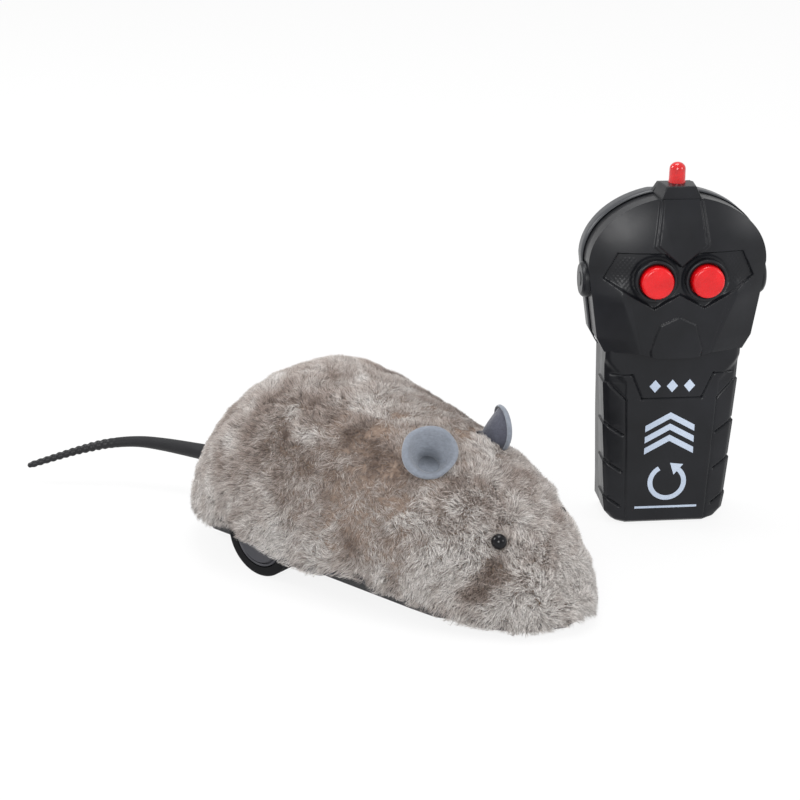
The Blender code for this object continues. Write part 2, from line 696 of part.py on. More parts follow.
def tub_outline(inset, widest=None):
    """The plan of the tub or of its rim, from stations; the waist's corners are its own stations."""
    waist = TYRE_RADIUS + ARCH_CLEARANCE
    stations = list(np.linspace(tub_rear_x + inset, AXLE_X - waist - OVERRUN, 4))
    stations += [AXLE_X - waist - GAP, AXLE_X - waist, AXLE_X + waist, AXLE_X + waist + GAP]
    stations += list(np.linspace(AXLE_X + waist + OVERRUN, tub_front_x - inset, 9))
    right = [(x, plan_half(x, widest) - inset) for x in stations]
    return right + [(x, -half) for x, half in reversed(right)]


def skins():
    cover = add("fur_cover", body_skin(COVER_INSET), "mouse", "plush")
    thick = cover.modifiers.new("thickness", "SOLIDIFY")
    thick.thickness = COVER_THICKNESS
    thick.offset = -1
    thick.use_even_offset = True
    tail_hole = add("tail_hole", rod((tail_pivot_x + OVERRUN, 0, TAIL_HEIGHT),
                                     (tail_pivot_x - 2 * OVERRUN, 0, TAIL_HEIGHT),
                                     TAIL_HOLE_RADIUS), "mouse")
    cut(cover, tail_hole)

    shell = add("top_shell", body_skin(shell_inset), "mouse", "black_plastic")
    wall = shell.modifiers.new("thickness", "SOLIDIFY")
    wall.thickness = SHELL_WALL
    wall.offset = -1
    wall.use_even_offset = True
    below = add("below_seam", block((-body_length, -body_width, -OVERRUN),
                                    (body_length, body_width, SEAM_HEIGHT)), "mouse")
    arch_radius = TYRE_RADIUS + ARCH_CLEARANCE
    arches = add("arches", group(*[
        rod((AXLE_X, side * (wheel_inner_y - 2 * GAP), axle_z), (AXLE_X, side * body_width, axle_z),
            arch_radius, FINE_STEPS) for side in (1, -1)]), "mouse")
    socket_half = TAIL_SOCKET_SIZE[1] / 2 + 2 * GAP
    notch = add("tail_notch", block(
        (-body_length, -socket_half, 0),
        (tail_pivot_x + TAIL_ROOT_RADIUS + TAIL_SOCKET_SIZE[0], socket_half,
         SEAM_HEIGHT + TAIL_SOCKET_SIZE[2] + 2 * GAP)), "mouse")
    cut(shell, below, arches, notch)
    bosses = []
    holes = []
    x, y = rear_boss_place
    wall_y = body_side(x - BOSS_RADIUS / 2, SEAM_HEIGHT + BOSS_HEIGHT / 2, shell_inset + SHELL_WALL / 3)
    for side in (1, -1):
        near, far = sorted((side * y, side * wall_y))
        lug = add("lug", block((x - BOSS_RADIUS / 2, near, SEAM_HEIGHT),
                               (x + BOSS_RADIUS / 2, far, SEAM_HEIGHT + BOSS_HEIGHT / 2)), "mouse")
        boss = add("boss", rod((x, side * y, SEAM_HEIGHT), (x, side * y, SEAM_HEIGHT + BOSS_HEIGHT),
                               BOSS_RADIUS, SMALL_STEPS), "mouse")
        bosses += [boss, lug]
        holes.append(rod((x, side * y, 0), (x, side * y, SEAM_HEIGHT + BOSS_HEIGHT - SCREW_RADIUS),
                         SCREW_RADIUS + GAP, SMALL_STEPS))
    unite(shell, *bosses)
    cut(shell, add("boss_holes", group(*holes), "mouse"))


def ears_and_eyes():
    clear_fur = add("fur_clearance", body_skin(COVER_INSET - GAP, closed=True), "mouse")
    ear_x, ear_y = body_place(*EAR_PLACE_SHARES)
    ear_z = body_top(ear_x, ear_y) + EAR_RISE
    eye_x, eye_y = body_place(*EYE_PLACE_SHARES)
    eye_z = body_top(eye_x, eye_y) - EYE_SINK
    for side, word in ((1, "right"), (-1, "left")):
        turn = side * EAR_TURN
        axis = Vector((math.cos(EAR_TILT) * math.cos(turn), math.cos(EAR_TILT) * math.sin(turn),
                       math.sin(EAR_TILT)))
        rim = [(EAR_RADIUS * share, EAR_CUP * share**2) for share in EAR_RIM_SHARES]
        front = [(radius, height + EAR_THICKNESS) for radius, height in rim]
        profile = front + list(reversed(rim))
        ear = turned(f"ear_{word}", profile, (ear_x, side * ear_y, ear_z), axis, "mouse", "felt", STEPS)
        cut(ear, clear_fur)
        shape = bmesh.new()
        bmesh.ops.create_uvsphere(shape, u_segments=SMALL_STEPS, v_segments=SMALL_STEPS // 2 + 2,
                                  radius=EYE_RADIUS)
        eye = add(f"eye_{word}", shape, "mouse", "glossy_black", (eye_x, side * eye_y, eye_z))
        cut(eye, clear_fur)


def smooth_line(route, spacing):
    """Points at an even spacing along a smooth curve through the route."""
    knots = [Vector(point) for point in route]
    padded = [2 * knots[0] - knots[1]] + knots + [2 * knots[-1] - knots[-2]]
    fine = []
    for a, b, c, d in zip(padded, padded[1:], padded[2:], padded[3:]):
        for step in range(STEPS):
            t = step / STEPS
            fine.append(0.5 * (2 * b + (c - a) * t + (2 * a - 5 * b + 4 * c - d) * t**2
                               + (3 * b - a - 3 * c + d) * t**3))
    fine.append(knots[-1])
    travelled = [0]
    for before, after in zip(fine, fine[1:]):
        travelled.append(travelled[-1] + (after - before).length)
    count = round(travelled[-1] / spacing)
    wanted = np.linspace(0, travelled[-1], count + 1)
    return [Vector([float(np.interp(at, travelled, [point[i] for point in fine])) for i in range(3)])
            for at in wanted]


def tube(name, points, radii, place, look, resolution=2):
    curve = bpy.data.curves.new(name, "CURVE")
    curve.dimensions = "3D"
    curve.use_fill_caps = True
    curve.bevel_resolution = resolution
    curve.bevel_depth = max(radii)
    line = curve.splines.new("POLY")
    line.points.add(len(points) - 1)
    for point, place_at, radius in zip(line.points, points, radii):
        point.co = (*place_at, 1)
        point.radius = radius / max(radii)
    return add(name, curve, place, look)


def tail():
    """A round root in its socket, a smooth taper, then ridges that end in a ball."""
    root = [Vector((tail_pivot_x + TAIL_ROOT_RADIUS * math.sin(angle), 0, TAIL_HEIGHT))
            for angle in TAIL_ROOT_ANGLES]
    root_radii = [TAIL_ROOT_RADIUS * math.cos(angle) for angle in TAIL_ROOT_ANGLES]
    route = [(body_rear_x - TAIL_LENGTH * back, -TAIL_LENGTH * aside, TAIL_HEIGHT * up)
             for back, aside, up in TAIL_ROUTE_SHARES]
    line = smooth_line(route, TAIL_RIDGE_PITCH / 2)
    ridged = 2 * TAIL_RIDGES
    smooth = line[:len(line) - ridged:3]
    beads = line[len(line) - ridged:]
    points = smooth + beads
    radii = []
    for i, point in enumerate(points):
        along = (point.x - points[0].x) / (points[-1].x - points[0].x)
        radius = TAIL_ROOT_RADIUS + (TAIL_TIP_RADIUS - TAIL_ROOT_RADIUS) * along
        if i >= len(smooth) and i % 2 == 0:
            radius *= 1 + TAIL_RIDGE_SHARE
        radii.append(radius)
    tube("tail", root + points, root_radii + radii, "tail_pivot", "rubber")
    length, width, height = TAIL_SOCKET_SIZE
    front = tail_pivot_x + TAIL_ROOT_RADIUS + GAP + TAIL_ROOT_RADIUS / 2
    socket = add("tail_socket", block((front - length, -width / 2, SEAM_HEIGHT),
                                      (front, width / 2, SEAM_HEIGHT + height)),
                 "mouse", "black_plastic")
    cup = add("tail_cup", rod((front - length - OVERRUN, 0, TAIL_HEIGHT),
                              (tail_pivot_x + TAIL_ROOT_RADIUS + GAP, 0, TAIL_HEIGHT),
                              TAIL_ROOT_RADIUS + GAP), "mouse")
    cut(socket, cup)


def chassis():
    tub = add("chassis_base", slab(tub_outline(GAP, TUB_HALF_WIDTH), GROUND_CLEARANCE,
                                   tub_top - TUB_WALL, "Z"), "mouse", "black_plastic")
    rim = add("tub_rim", slab(tub_outline(0), tub_top - TUB_RIM, tub_top, "Z"), "mouse")
    unite(tub, rim)
    hollow = add("tub_hollow", slab(tub_outline(GAP + TUB_WALL, TUB_HALF_WIDTH), tub_floor,
                                    tub_top + OVERRUN, "Z"), "mouse")
    cut(tub, hollow)

    well = add("caster_well", rod((caster_x, 0, GROUND_CLEARANCE), (caster_x, 0, well_top + WELL_ROOF),
                                  well_radius + TUB_WALL), "mouse")
    box = add("battery_box", block((box_rear_x, -box_half, GROUND_CLEARANCE),
                                   (box_front_x, box_half, box_top)), "mouse")
    arms = [add("board_arm", block((x, -box_half, box_top - BOX_WALL),
                                   (x + BOX_WALL, box_half, board_base - GAP)), "mouse")
            for x in (box_rear_x, box_rear_x + BOARD_LENGTH - BOX_WALL)]
    box_hollow = add("box_hollow", block(
        (box_inside_x, -box_half + BOX_WALL, -OVERRUN),
        (box_front_inside_x, box_half - BOX_WALL, board_base)), "mouse")
    unite(tub, box)
    cut(tub, box_hollow)
    unite(tub, *arms)
    cell_room = add("cell_room", group(*[
        rod((box_inside_x, side * cell_spread, cell_axis_z),
            (box_front_inside_x, side * cell_spread, cell_axis_z), CELL_RADIUS + GAP)
        for side in (1, -1)]), "mouse")
    cut(tub, cell_room)

    unite(tub, well)
    well_hollow = add("well_hollow", rod((caster_x, 0, -OVERRUN), (caster_x, 0, well_top),
                                         well_radius, FINE_STEPS), "mouse")
    stem_hole = add("stem_hole", rod((caster_x, 0, 0), (caster_x, 0, well_top + OVERRUN),
                                     STEM_RADIUS + GAP), "mouse")
    cut(tub, well_hollow, stem_hole)

    for side in (1, -1):
        y = side * (tub_waist_half - GAP / 2 - TUB_WALL / 2)
        post = add("axle_post", block((AXLE_X - 3 * AXLE_RADIUS, y - TUB_WALL / 2, GROUND_CLEARANCE),
                                      (AXLE_X + 3 * AXLE_RADIUS, y + TUB_WALL / 2,
                                       axle_z + 3 * AXLE_RADIUS)), "mouse")
        unite(tub, post)
    axle_hole = add("axle_hole", rod((AXLE_X, -body_width, axle_z), (AXLE_X, body_width, axle_z),
                                     AXLE_RADIUS + GAP), "mouse")
    cut(tub, axle_hole)

    posts = []
    holes = []
    x, y = rear_boss_place
    for word, side in (("left", 1), ("right", -1)):
        posts.append(add("screw_post", rod((x, side * y, GROUND_CLEARANCE), (x, side * y, tub_top),
                                           BOSS_RADIUS, SMALL_STEPS), "mouse"))
        holes.append(add("screw_hole", rod((x, side * y, 0), (x, side * y, tub_top + OVERRUN),
                                           SCREW_RADIUS + GAP, SMALL_STEPS), "mouse"))
        holes.append(add("screw_sink", rod((x, side * y, 0), (x, side * y, tub_floor),
                                           SCREW_HEAD_RADIUS + GAP, SMALL_STEPS), "mouse"))
        seat = tub_floor - GAP - SCREW_HEAD_HEIGHT
        add(f"chassis_screw_{word}", turned_screw((x, side * y, seat), (0, 0, 1),
                                                  SEAM_HEIGHT + BOSS_HEIGHT / 2 - tub_floor + GAP),
            "mouse", "steel")
    unite(tub, *posts)
    cut(tub, *holes)

    mid_z = tub_floor + GAP + SWITCH_BODY[2] / 2
    x, y = switch_place
    slot = add("switch_slot", block(
        (x - SWITCH_TRAVEL / 2 - KNOB_SIZE[0] / 2 - GAP, y - KNOB_SIZE[1] / 2 - GAP, 0),
        (x + SWITCH_TRAVEL / 2 + KNOB_SIZE[0] / 2 + GAP, y + KNOB_SIZE[1] / 2 + GAP, mid_z)), "mouse")
    cut(tub, slot)
    body = add("power_switch_body", block(
        (x - SWITCH_BODY[0] / 2, y - SWITCH_BODY[1] / 2, mid_z - SWITCH_BODY[2] / 2),
        (x + SWITCH_BODY[0] / 2, y + SWITCH_BODY[1] / 2, mid_z + SWITCH_BODY[2] / 2)),
        "mouse", "steel")
    cut(body, slot)
    knob_x = x - SWITCH_TRAVEL / 2
    add("power_switch_knob", block(
        (knob_x - KNOB_SIZE[0] / 2, y - KNOB_SIZE[1] / 2, GROUND_CLEARANCE - KNOB_PROUD),
        (knob_x + KNOB_SIZE[0] / 2, y + KNOB_SIZE[1] / 2, mid_z - GAP)),
        "switch_pivot", "black_plastic")


def turned_screw(seat, direction, length, radius=SCREW_RADIUS, head=SCREW_HEAD_RADIUS,
                 head_height=SCREW_HEAD_HEIGHT):
    """A screw from one stepped outline of rings: its head, then its shank and a short point."""
    seat, direction = Vector(seat), Vector(direction)
    rings = []
    turn = Vector((0, 0, 1)).rotation_difference(direction).to_matrix()
    for ring_radius, height in ((head, 0), (head, head_height), (radius, head_height),
                                (radius, head_height + length - radius), (radius / 3,
                                                                         head_height + length)):
        rings.append([seat + turn @ Vector((ring_radius * math.cos(2 * math.pi * i / SMALL_STEPS),
                                            ring_radius * math.sin(2 * math.pi * i / SMALL_STEPS),
                                            height)) for i in range(SMALL_STEPS)])
    return loft(rings, closed=True)


def wheels():
    for side, word in ((1, "left"), (-1, "right")):
        axis = (0, side, 0)
        rim = TYRE_RADIUS - TYRE_DEPTH
        edge = TYRE_DEPTH / 2
        inner, outer = wheel_inner_y, wheel_outer_y
        turned(f"tyre_{word}", [
            (rim, outer), (TYRE_RADIUS - edge, outer), (TYRE_RADIUS - edge / 4, outer - edge / 2),
            (TYRE_RADIUS, outer - edge), (TYRE_RADIUS, inner + edge),
            (TYRE_RADIUS - edge / 4, inner + edge / 2), (TYRE_RADIUS - edge, inner), (rim, inner)],
            (AXLE_X, 0, axle_z), axis, "rear_axle_pivot", "rubber", ring=True)
        face = outer - WHEEL_RIM_DEPTH
        wheel = turned(f"wheel_{word}", [
            (0, outer - GAP), (WHEEL_BOSS_RADIUS, outer - GAP), (WHEEL_BOSS_RADIUS, face),
            (rim - GAP - WHEEL_WALL, face), (rim - GAP - WHEEL_WALL, outer - GAP),
            (rim - GAP, outer - GAP), (rim - GAP, inner + GAP), (0, inner + GAP)],
            (AXLE_X, 0, axle_z), axis, "rear_axle_pivot", "black_plastic")
        bore = add("axle_bore", rod((AXLE_X, side * (inner - OVERRUN), axle_z),
                                    (AXLE_X, side * (outer - WHEEL_WALL), axle_z),
                                    AXLE_RADIUS + GAP), "rear_axle_pivot")
        cut(wheel, bore)
    end = wheel_outer_y - WHEEL_WALL - GAP
    add("rear_axle", rod((AXLE_X, -end, axle_z), (AXLE_X, end, axle_z), AXLE_RADIUS),
        "rear_axle_pivot", "steel")


def drive_train():
    """Three planes of gears between the two plates: the pinion's, the middle and the axle's."""
    first, second, third, cover_y = first_gear_y, second_gear_y, third_gear_y, cover_plate_y
    final_phase = 0
    b_small_phase = mesh_phase(WHEEL_TEETH, final_phase, SMALL_TEETH, TRAIN_ANGLES[0])
    b_large_phase = 0
    a_small_phase = mesh_phase(WHEEL_TEETH, b_large_phase, SMALL_TEETH, TRAIN_ANGLES[1])
    a_large_phase = 0
    pinion_phase = mesh_phase(WHEEL_TEETH, a_large_phase, PINION_TEETH, TRAIN_ANGLES[2])

    final = add("final_gear", slab(gear_outline(WHEEL_TEETH, final_phase, axle_centre), third,
                                   third + GEAR_WIDTH), "rear_axle_pivot", "white_plastic")
    cut(final, add("final_bore", rod((AXLE_X, first, axle_z), (AXLE_X, cover_y, axle_z),
                                     AXLE_RADIUS + GAP), "rear_axle_pivot"))
    for word, centre, low, small_low, large_phase, small_phase in (
            ("a", compound_a, first, second, a_large_phase, a_small_phase),
            ("b", compound_b, second, third, b_large_phase, b_small_phase)):
        place = f"compound_{word}_pivot"
        gear = add(f"compound_gear_{word}", slab(gear_outline(WHEEL_TEETH, large_phase, centre), low,
                                                 low + GEAR_WIDTH), place, "white_plastic")
        unite(gear, add(f"small_gear_{word}", slab(gear_outline(SMALL_TEETH, small_phase, centre),
                                                   low + GEAR_WIDTH - GAP, small_low + GEAR_WIDTH),
                        place))
        cut(gear, add(f"pin_bore_{word}", rod((centre[0], FRAME_Y, centre[1]),
                                              (centre[0], cover_y, centre[1]),
                                              GEAR_PIN_RADIUS + GAP, SMALL_STEPS), place))
    x, z = motor_centre
    pinion = add("motor_pinion", slab(gear_outline(PINION_TEETH, pinion_phase, motor_centre), first,
                                      first + GEAR_WIDTH), "motor_pivot", "white_plastic")
    motor_face = FRAME_Y - GAP
    unite(pinion, add("motor_shaft", rod((x, motor_face - MOTOR_SHAFT_GRIP, z), (x, first + GAP, z),
                                         MOTOR_SHAFT_RADIUS, SMALL_STEPS), "motor_pivot"))

    for word, centre in (("a", compound_a), ("b", compound_b)):
        add(f"gear_pin_{word}", rod((centre[0], FRAME_Y + GAP, centre[1]),
                                    (centre[0], cover_y + PLATE_THICKNESS - GAP, centre[1]),
                                    GEAR_PIN_RADIUS, SMALL_STEPS), "mouse", "steel")

    low_z = tub_floor + GAP
    left, right = motor_centre[0] - PLATE_MARGIN / 2, AXLE_X + PLATE_MARGIN
    top = compound_a[1] + PLATE_MARGIN + GEAR_SPACING
    corner = PLATE_MARGIN / 2
    outline = [(left, low_z), (right, low_z), (right, top - corner), (right - corner, top),
               (left + corner, top), (left, top - corner)]
    posts = ((left + corner, top - corner), (right - corner, top - corner),
             (left + corner / 2 + POST_RADIUS, low_z + 2 * POST_RADIUS))
    holes = [rod((AXLE_X, 0, axle_z), (AXLE_X, cover_y + OVERRUN, axle_z), AXLE_RADIUS + GAP)]
    holes += [rod((centre[0], 0, centre[1]), (centre[0], cover_y + OVERRUN, centre[1]),
                  GEAR_PIN_RADIUS + GAP, SMALL_STEPS) for centre in (compound_a, compound_b)]
    holes.append(rod((x, 0, z), (x, FRAME_Y + PLATE_THICKNESS + GAP, z), MOTOR_SHAFT_RADIUS + GAP))
    hole_group = add("train_holes", group(*holes), "mouse")
    frame = add("gearbox_frame", slab(outline, FRAME_Y, FRAME_Y + PLATE_THICKNESS), "mouse",
                "black_plastic")
    for at in posts:
        unite(frame, add("post", rod((at[0], FRAME_Y + PLATE_THICKNESS / 2, at[1]),
                                     (at[0], cover_y - GAP, at[1]), POST_RADIUS, SMALL_STEPS), "mouse"))
    cover = add("gearbox_cover", slab(outline, cover_y, cover_y + PLATE_THICKNESS), "mouse",
                "black_plastic")
    screw_holes = add("frame_screw_holes", group(*[
        rod((at[0], cover_y - OVERRUN, at[1]), (at[0], cover_y + OVERRUN, at[1]),
            FRAME_SCREW_RADIUS + GAP, SMALL_STEPS) for at in posts[:1]]), "mouse")
    cut(frame, hole_group, screw_holes)
    cut(cover, hole_group, screw_holes)
    head = PLATE_THICKNESS / 2
    at = posts[0]
    add("gearbox_screw", turned_screw((at[0], cover_y + PLATE_THICKNESS + GAP + head, at[1]),
                                      (0, -1, 0), PLATE_THICKNESS + OVERRUN / 2,
                                      FRAME_SCREW_RADIUS, 2 * FRAME_SCREW_RADIUS, head),
        "mouse", "steel")


def motor():
    x, z = motor_centre
    face = FRAME_Y - GAP
    rear = face - MOTOR_CAN_LENGTH
    flats = add("motor_flats", block((x - MOTOR_RADIUS - OVERRUN, rear - OVERRUN - MOTOR_CAP_LENGTH,
                                      z - MOTOR_FLAT_HALF),
                                     (x + MOTOR_RADIUS + OVERRUN, face + OVERRUN,
                                      z + MOTOR_FLAT_HALF)), "mouse")
    can = add("motor_can", rod((x, rear, z), (x, face, z), MOTOR_RADIUS, FINE_STEPS), "mouse", "steel")
    keep(can, flats)
    cut(can, add("shaft_bore", rod((x, face - MOTOR_SHAFT_GRIP - GAP, z), (x, face + OVERRUN, z),
                                   MOTOR_SHAFT_RADIUS + GAP, SMALL_STEPS), "mouse"))
    cap = add("motor_end_cap", rod((x, rear - GAP - MOTOR_CAP_LENGTH, z), (x, rear - GAP, z),
                                   MOTOR_RADIUS - GAP, FINE_STEPS), "mouse", "white_plastic")
    keep(cap, flats)
    cradle_top = z - MOTOR_FLAT_HALF - GAP
    cradle = add("motor_cradle", block((x - BOSS_RADIUS, face - 2 * OVERRUN, GROUND_CLEARANCE),
                                       (x + BOSS_RADIUS, face - OVERRUN, cradle_top)), "mouse")
    tub = bpy.data.objects["chassis_base"]
    unite(tub, cradle)


def cell(start, direction):
    """A cell along a direction: its case, then the smaller nub."""
    start, direction = Vector(start), Vector(direction)
    turn = Vector((0, 0, 1)).rotation_difference(direction).to_matrix()
    rings = []
    for radius, height in ((CELL_RADIUS, 0), (CELL_RADIUS, CELL_LENGTH), (CELL_NUB_RADIUS, CELL_LENGTH),
                           (CELL_NUB_RADIUS, CELL_LENGTH + CELL_NUB_LENGTH)):
        rings.append([start + turn @ Vector((radius * math.cos(2 * math.pi * i / STEPS),
                                             radius * math.sin(2 * math.pi * i / STEPS), height))
                      for i in range(STEPS)])
    return loft(rings, closed=True)


def contact(centre, direction):
    """A plate with a raised spring bump towards the cell."""
    centre, direction = Vector(centre), Vector(direction)
    turn = Vector((0, 0, 1)).rotation_difference(direction).to_matrix()
    rings = []
    for radius, height in ((CONTACT_HALF, 0), (CONTACT_HALF, CONTACT_THICKNESS),
                           (CELL_NUB_RADIUS, CONTACT_THICKNESS),
                           (CELL_NUB_RADIUS / 2, CONTACT_THICKNESS + CONTACT_BUMP)):
        rings.append([centre + turn @ Vector((radius * math.cos(2 * math.pi * i / SMALL_STEPS),
                                              radius * math.sin(2 * math.pi * i / SMALL_STEPS),
                                              height)) for i in range(SMALL_STEPS)])
    return loft(rings, closed=True)


def contact_bridge(name, centres, direction, place):
    """Two contacts made one piece by a strip between them, which puts the cells in series."""
    bridge = add(name, contact(centres[0], direction), place, "steel")
    unite(bridge, add(f"{name}_end", contact(centres[1], direction), place))
    first, second, direction = Vector(centres[0]), Vector(centres[1]), Vector(direction)
    across = direction.cross(second - first).normalized() * CELL_NUB_RADIUS / 2
    back = first - across
    front = second + across + direction * CONTACT_THICKNESS
    low = [min(back[i], front[i]) for i in range(3)]
    high = [max(back[i], front[i]) for i in range(3)]
    unite(bridge, add(f"{name}_strip", block(low, high), place))


def mouse_power():
    spread = cell_spread
    front_end = cell_rear_x + CELL_LENGTH + CELL_NUB_LENGTH
    add("mouse_cell_left", cell((cell_rear_x, spread, cell_axis_z), (1, 0, 0)), "mouse", "cell")
    add("mouse_cell_right", cell((front_end, -spread, cell_axis_z), (-1, 0, 0)), "mouse", "cell")
    for word, side in (("left", 1), ("right", -1)):
        add(f"mouse_terminal_{word}", contact((box_inside_x + GAP, side * spread, cell_axis_z),
                                              (1, 0, 0)), "mouse", "steel")
    contact_bridge("mouse_contact_bridge", [(box_front_inside_x - GAP, side * spread, cell_axis_z)
                                            for side in (1, -1)], (-1, 0, 0), "mouse")

    door = add("mouse_battery_door", block((door_rear_x, -door_half, GROUND_CLEARANCE),
                                           (door_front_x, door_half,
                                            GROUND_CLEARANCE + DOOR_THICKNESS)),
               "battery_door_pivot", "black_plastic")
    screw_x = door_front_x - 2 * SCREW_HEAD_RADIUS
    cut(door, add("door_screw_hole", rod((screw_x, 0, 0), (screw_x, 0, tub_floor + OVERRUN),
                                         SCREW_RADIUS + GAP, SMALL_STEPS), "battery_door_pivot"))
    cut(door, add("door_screw_sink", rod((screw_x, 0, 0), (screw_x, 0, GROUND_CLEARANCE
                                                           + DOOR_THICKNESS / 2),
                                         SCREW_HEAD_RADIUS + GAP, SMALL_STEPS), "battery_door_pivot"))
    head = DOOR_THICKNESS / 2 - GAP
    add("mouse_door_screw", turned_screw((screw_x, 0, GROUND_CLEARANCE), (0, 0, 1),
                                         DOOR_THICKNESS, SCREW_RADIUS, SCREW_HEAD_RADIUS, head),
        "battery_door_pivot", "steel")

    board_top = board_base + BOARD_THICKNESS
    board = add("receiver_board", block((box_rear_x, -BOARD_HALF_WIDTH, board_base),
                                        (box_rear_x + BOARD_LENGTH, BOARD_HALF_WIDTH, board_top)),
                "mouse", "board")
    chip = BOARD_HALF_WIDTH / 3
    base = board_top - BOARD_THICKNESS / 2
    unite(board, add("receiver_parts", group(
        block((box_rear_x + chip, -chip, base), (box_rear_x + 3 * chip, chip, base + chip / 2)),
        rod((box_rear_x + 5 * chip, chip, base), (box_rear_x + 5 * chip, chip, base + 2 * chip),
            chip / 2, SMALL_STEPS),
        block((box_rear_x + 5 * chip, -2 * chip, base),
              (box_rear_x + 6 * chip, -chip, base + chip))), "mouse"))

    x, z = motor_centre
    cap_y = FRAME_Y - 3 * GAP - MOTOR_CAN_LENGTH - MOTOR_CAP_LENGTH
    rise = board_top + WIRE_RADIUS + GAP
    over_motor = z + MOTOR_FLAT_HALF + WIRE_SPREAD
    leads = []
    little, half, most = WIRE_LEAN_SHARES
    for shift in (-WIRE_SPREAD, WIRE_SPREAD):
        top = over_motor - half * shift
        leads.append(((x + shift, cap_y, z),
                      (x + shift, cap_y - WIRE_SPREAD + little * shift, z + WIRE_SPREAD),
                      (x + 2 * WIRE_SPREAD + shift, cap_y - WIRE_SPREAD + half * shift, top),
                      (AXLE_X, -BOARD_HALF_WIDTH - WIRE_SPREAD + most * shift, top),
                      (box_rear_x + WIRE_SPREAD, -BOARD_HALF_WIDTH + WIRE_SPREAD + most * shift, rise)))
    for word, look, route in zip(("red", "black"), ("wire", "rubber"), leads):
        line = smooth_line(route, WIRE_STEP)
        tube(f"motor_lead_{word}", line, [WIRE_RADIUS] * len(line), "mouse", look, 0)


def caster():
    x = caster_x
    axle = CASTER_RADIUS
    leg_y = CASTER_WIDTH / 2 + GAP
    fork = add("caster_fork", rod((x, 0, fork_disc_z), (x, 0, fork_disc_z + FORK_DISC),
                                  well_radius - 2 * GAP), "caster_pivot", "black_plastic")
    unite(fork, add("stem", rod((x, 0, fork_disc_z), (x, 0, fork_disc_z + FORK_DISC + STEM_LENGTH),
                                STEM_RADIUS), "caster_pivot"))
    for side in (1, -1):
        near, far = sorted((side * leg_y, side * (leg_y + FORK_LEG)))
        leg = add("leg", block((fork_axle_x - 2 * FORK_LEG, near, axle - 2 * CASTER_PIN_RADIUS),
                               (fork_axle_x + 2 * FORK_LEG, far, fork_disc_z + GAP)), "caster_pivot")
        unite(fork, leg)
    pin_hole = add("caster_pin_hole", rod((fork_axle_x, -well_radius, axle),
                                          (fork_axle_x, well_radius, axle),
                                          CASTER_PIN_RADIUS + GAP, SMALL_STEPS), "caster_pivot")
    top = fork_disc_z + FORK_DISC + STEM_LENGTH
    screw_hole = add("caster_screw_hole", rod((x, 0, fork_disc_z + GAP), (x, 0, top + OVERRUN),
                                              CASTER_SCREW_RADIUS + GAP, SMALL_STEPS), "caster_pivot")
    cut(fork, pin_hole, screw_hole)
    wheel = add("caster_wheel", rod((fork_axle_x, -CASTER_WIDTH / 2, axle),
                                    (fork_axle_x, CASTER_WIDTH / 2, axle), CASTER_RADIUS, FINE_STEPS),
                "caster_wheel_pivot", "black_plastic")
    soften(wheel, CASTER_RADIUS / 10, 1)
    cut(wheel, pin_hole)
    add("caster_pin", rod((fork_axle_x, -leg_y - FORK_LEG, axle), (fork_axle_x, leg_y + FORK_LEG, axle),
                          CASTER_PIN_RADIUS, SMALL_STEPS), "caster_pivot", "steel")
    seat = max(top, well_top + WELL_ROOF) + GAP
    add("caster_screw", turned_screw((x, 0, seat + FORK_LEG), (0, 0, -1), seat - fork_disc_z - 2 * GAP,
                                     CASTER_SCREW_RADIUS, CASTER_HEAD_RADIUS, FORK_LEG),
        "caster_pivot", "steel")


# Places of the hand control, in its own coordinates: X across, Y from front to back, Z up
def build_remote_places():
    add_place("remote", (REMOTE_X, REMOTE_Y, 0))
    empty, _ = PLACES["remote"]
    empty.parent = PLACES["whole_set"][0]
    empty.rotation_euler = (0, 0, REMOTE_YAW)
    for word, side in (("left", -1), ("right", 1)):
        add_place(f"{word}_button_pivot", (side * button_x, button_face, button_z), "remote")
    add_place("remote_door_pivot", (0, handle_back - DOOR_THICKNESS / 2,
                                    remote_door_z[0] + DOOR_HINGE_GAP + DOOR_HINGE_INSET), "remote")


def handle_outline():
    return mirrored([(handle_half_width * wide, handle_top * high)
                     for wide, high in zip(HANDLE_WIDTH_SHARES, HANDLE_HEIGHT_SHARES)])


def head_point(across_share, up_share):
    return HEAD_HALF_WIDTH * across_share, head_base + HEAD_HEIGHT * up_share


def head_dome(inset, front_shift=0.0):
    """The head as rings that shrink towards the middle of a domed face and a flatter back."""
    centre_z = head_base + HEAD_HEIGHT * HEAD_CENTRE_SHARE
    outline = mirrored([head_point(*shares) for shares in HEAD_OUTLINE_SHARES])
    scale = 1 - inset / HEAD_HALF_WIDTH
    rings = []
    for share in reversed(HEAD_RING_SHARES):
        y = HEAD_EDGE_FRONT - HEAD_DOME * (1 - share**HEAD_DOME_POWER) + inset + front_shift
        rings.append([(x * share * scale, y, centre_z + (z - centre_z) * share * scale)
                      for x, z in outline])
    for share, rise in HEAD_BACK_SHARES:
        y = HEAD_EDGE_BACK + HEAD_BACK_DOME * rise - inset
        rings.append([(x * share * scale, y, centre_z + (z - centre_z) * share * scale)
                      for x, z in outline])
    return loft(rings, closed=True)


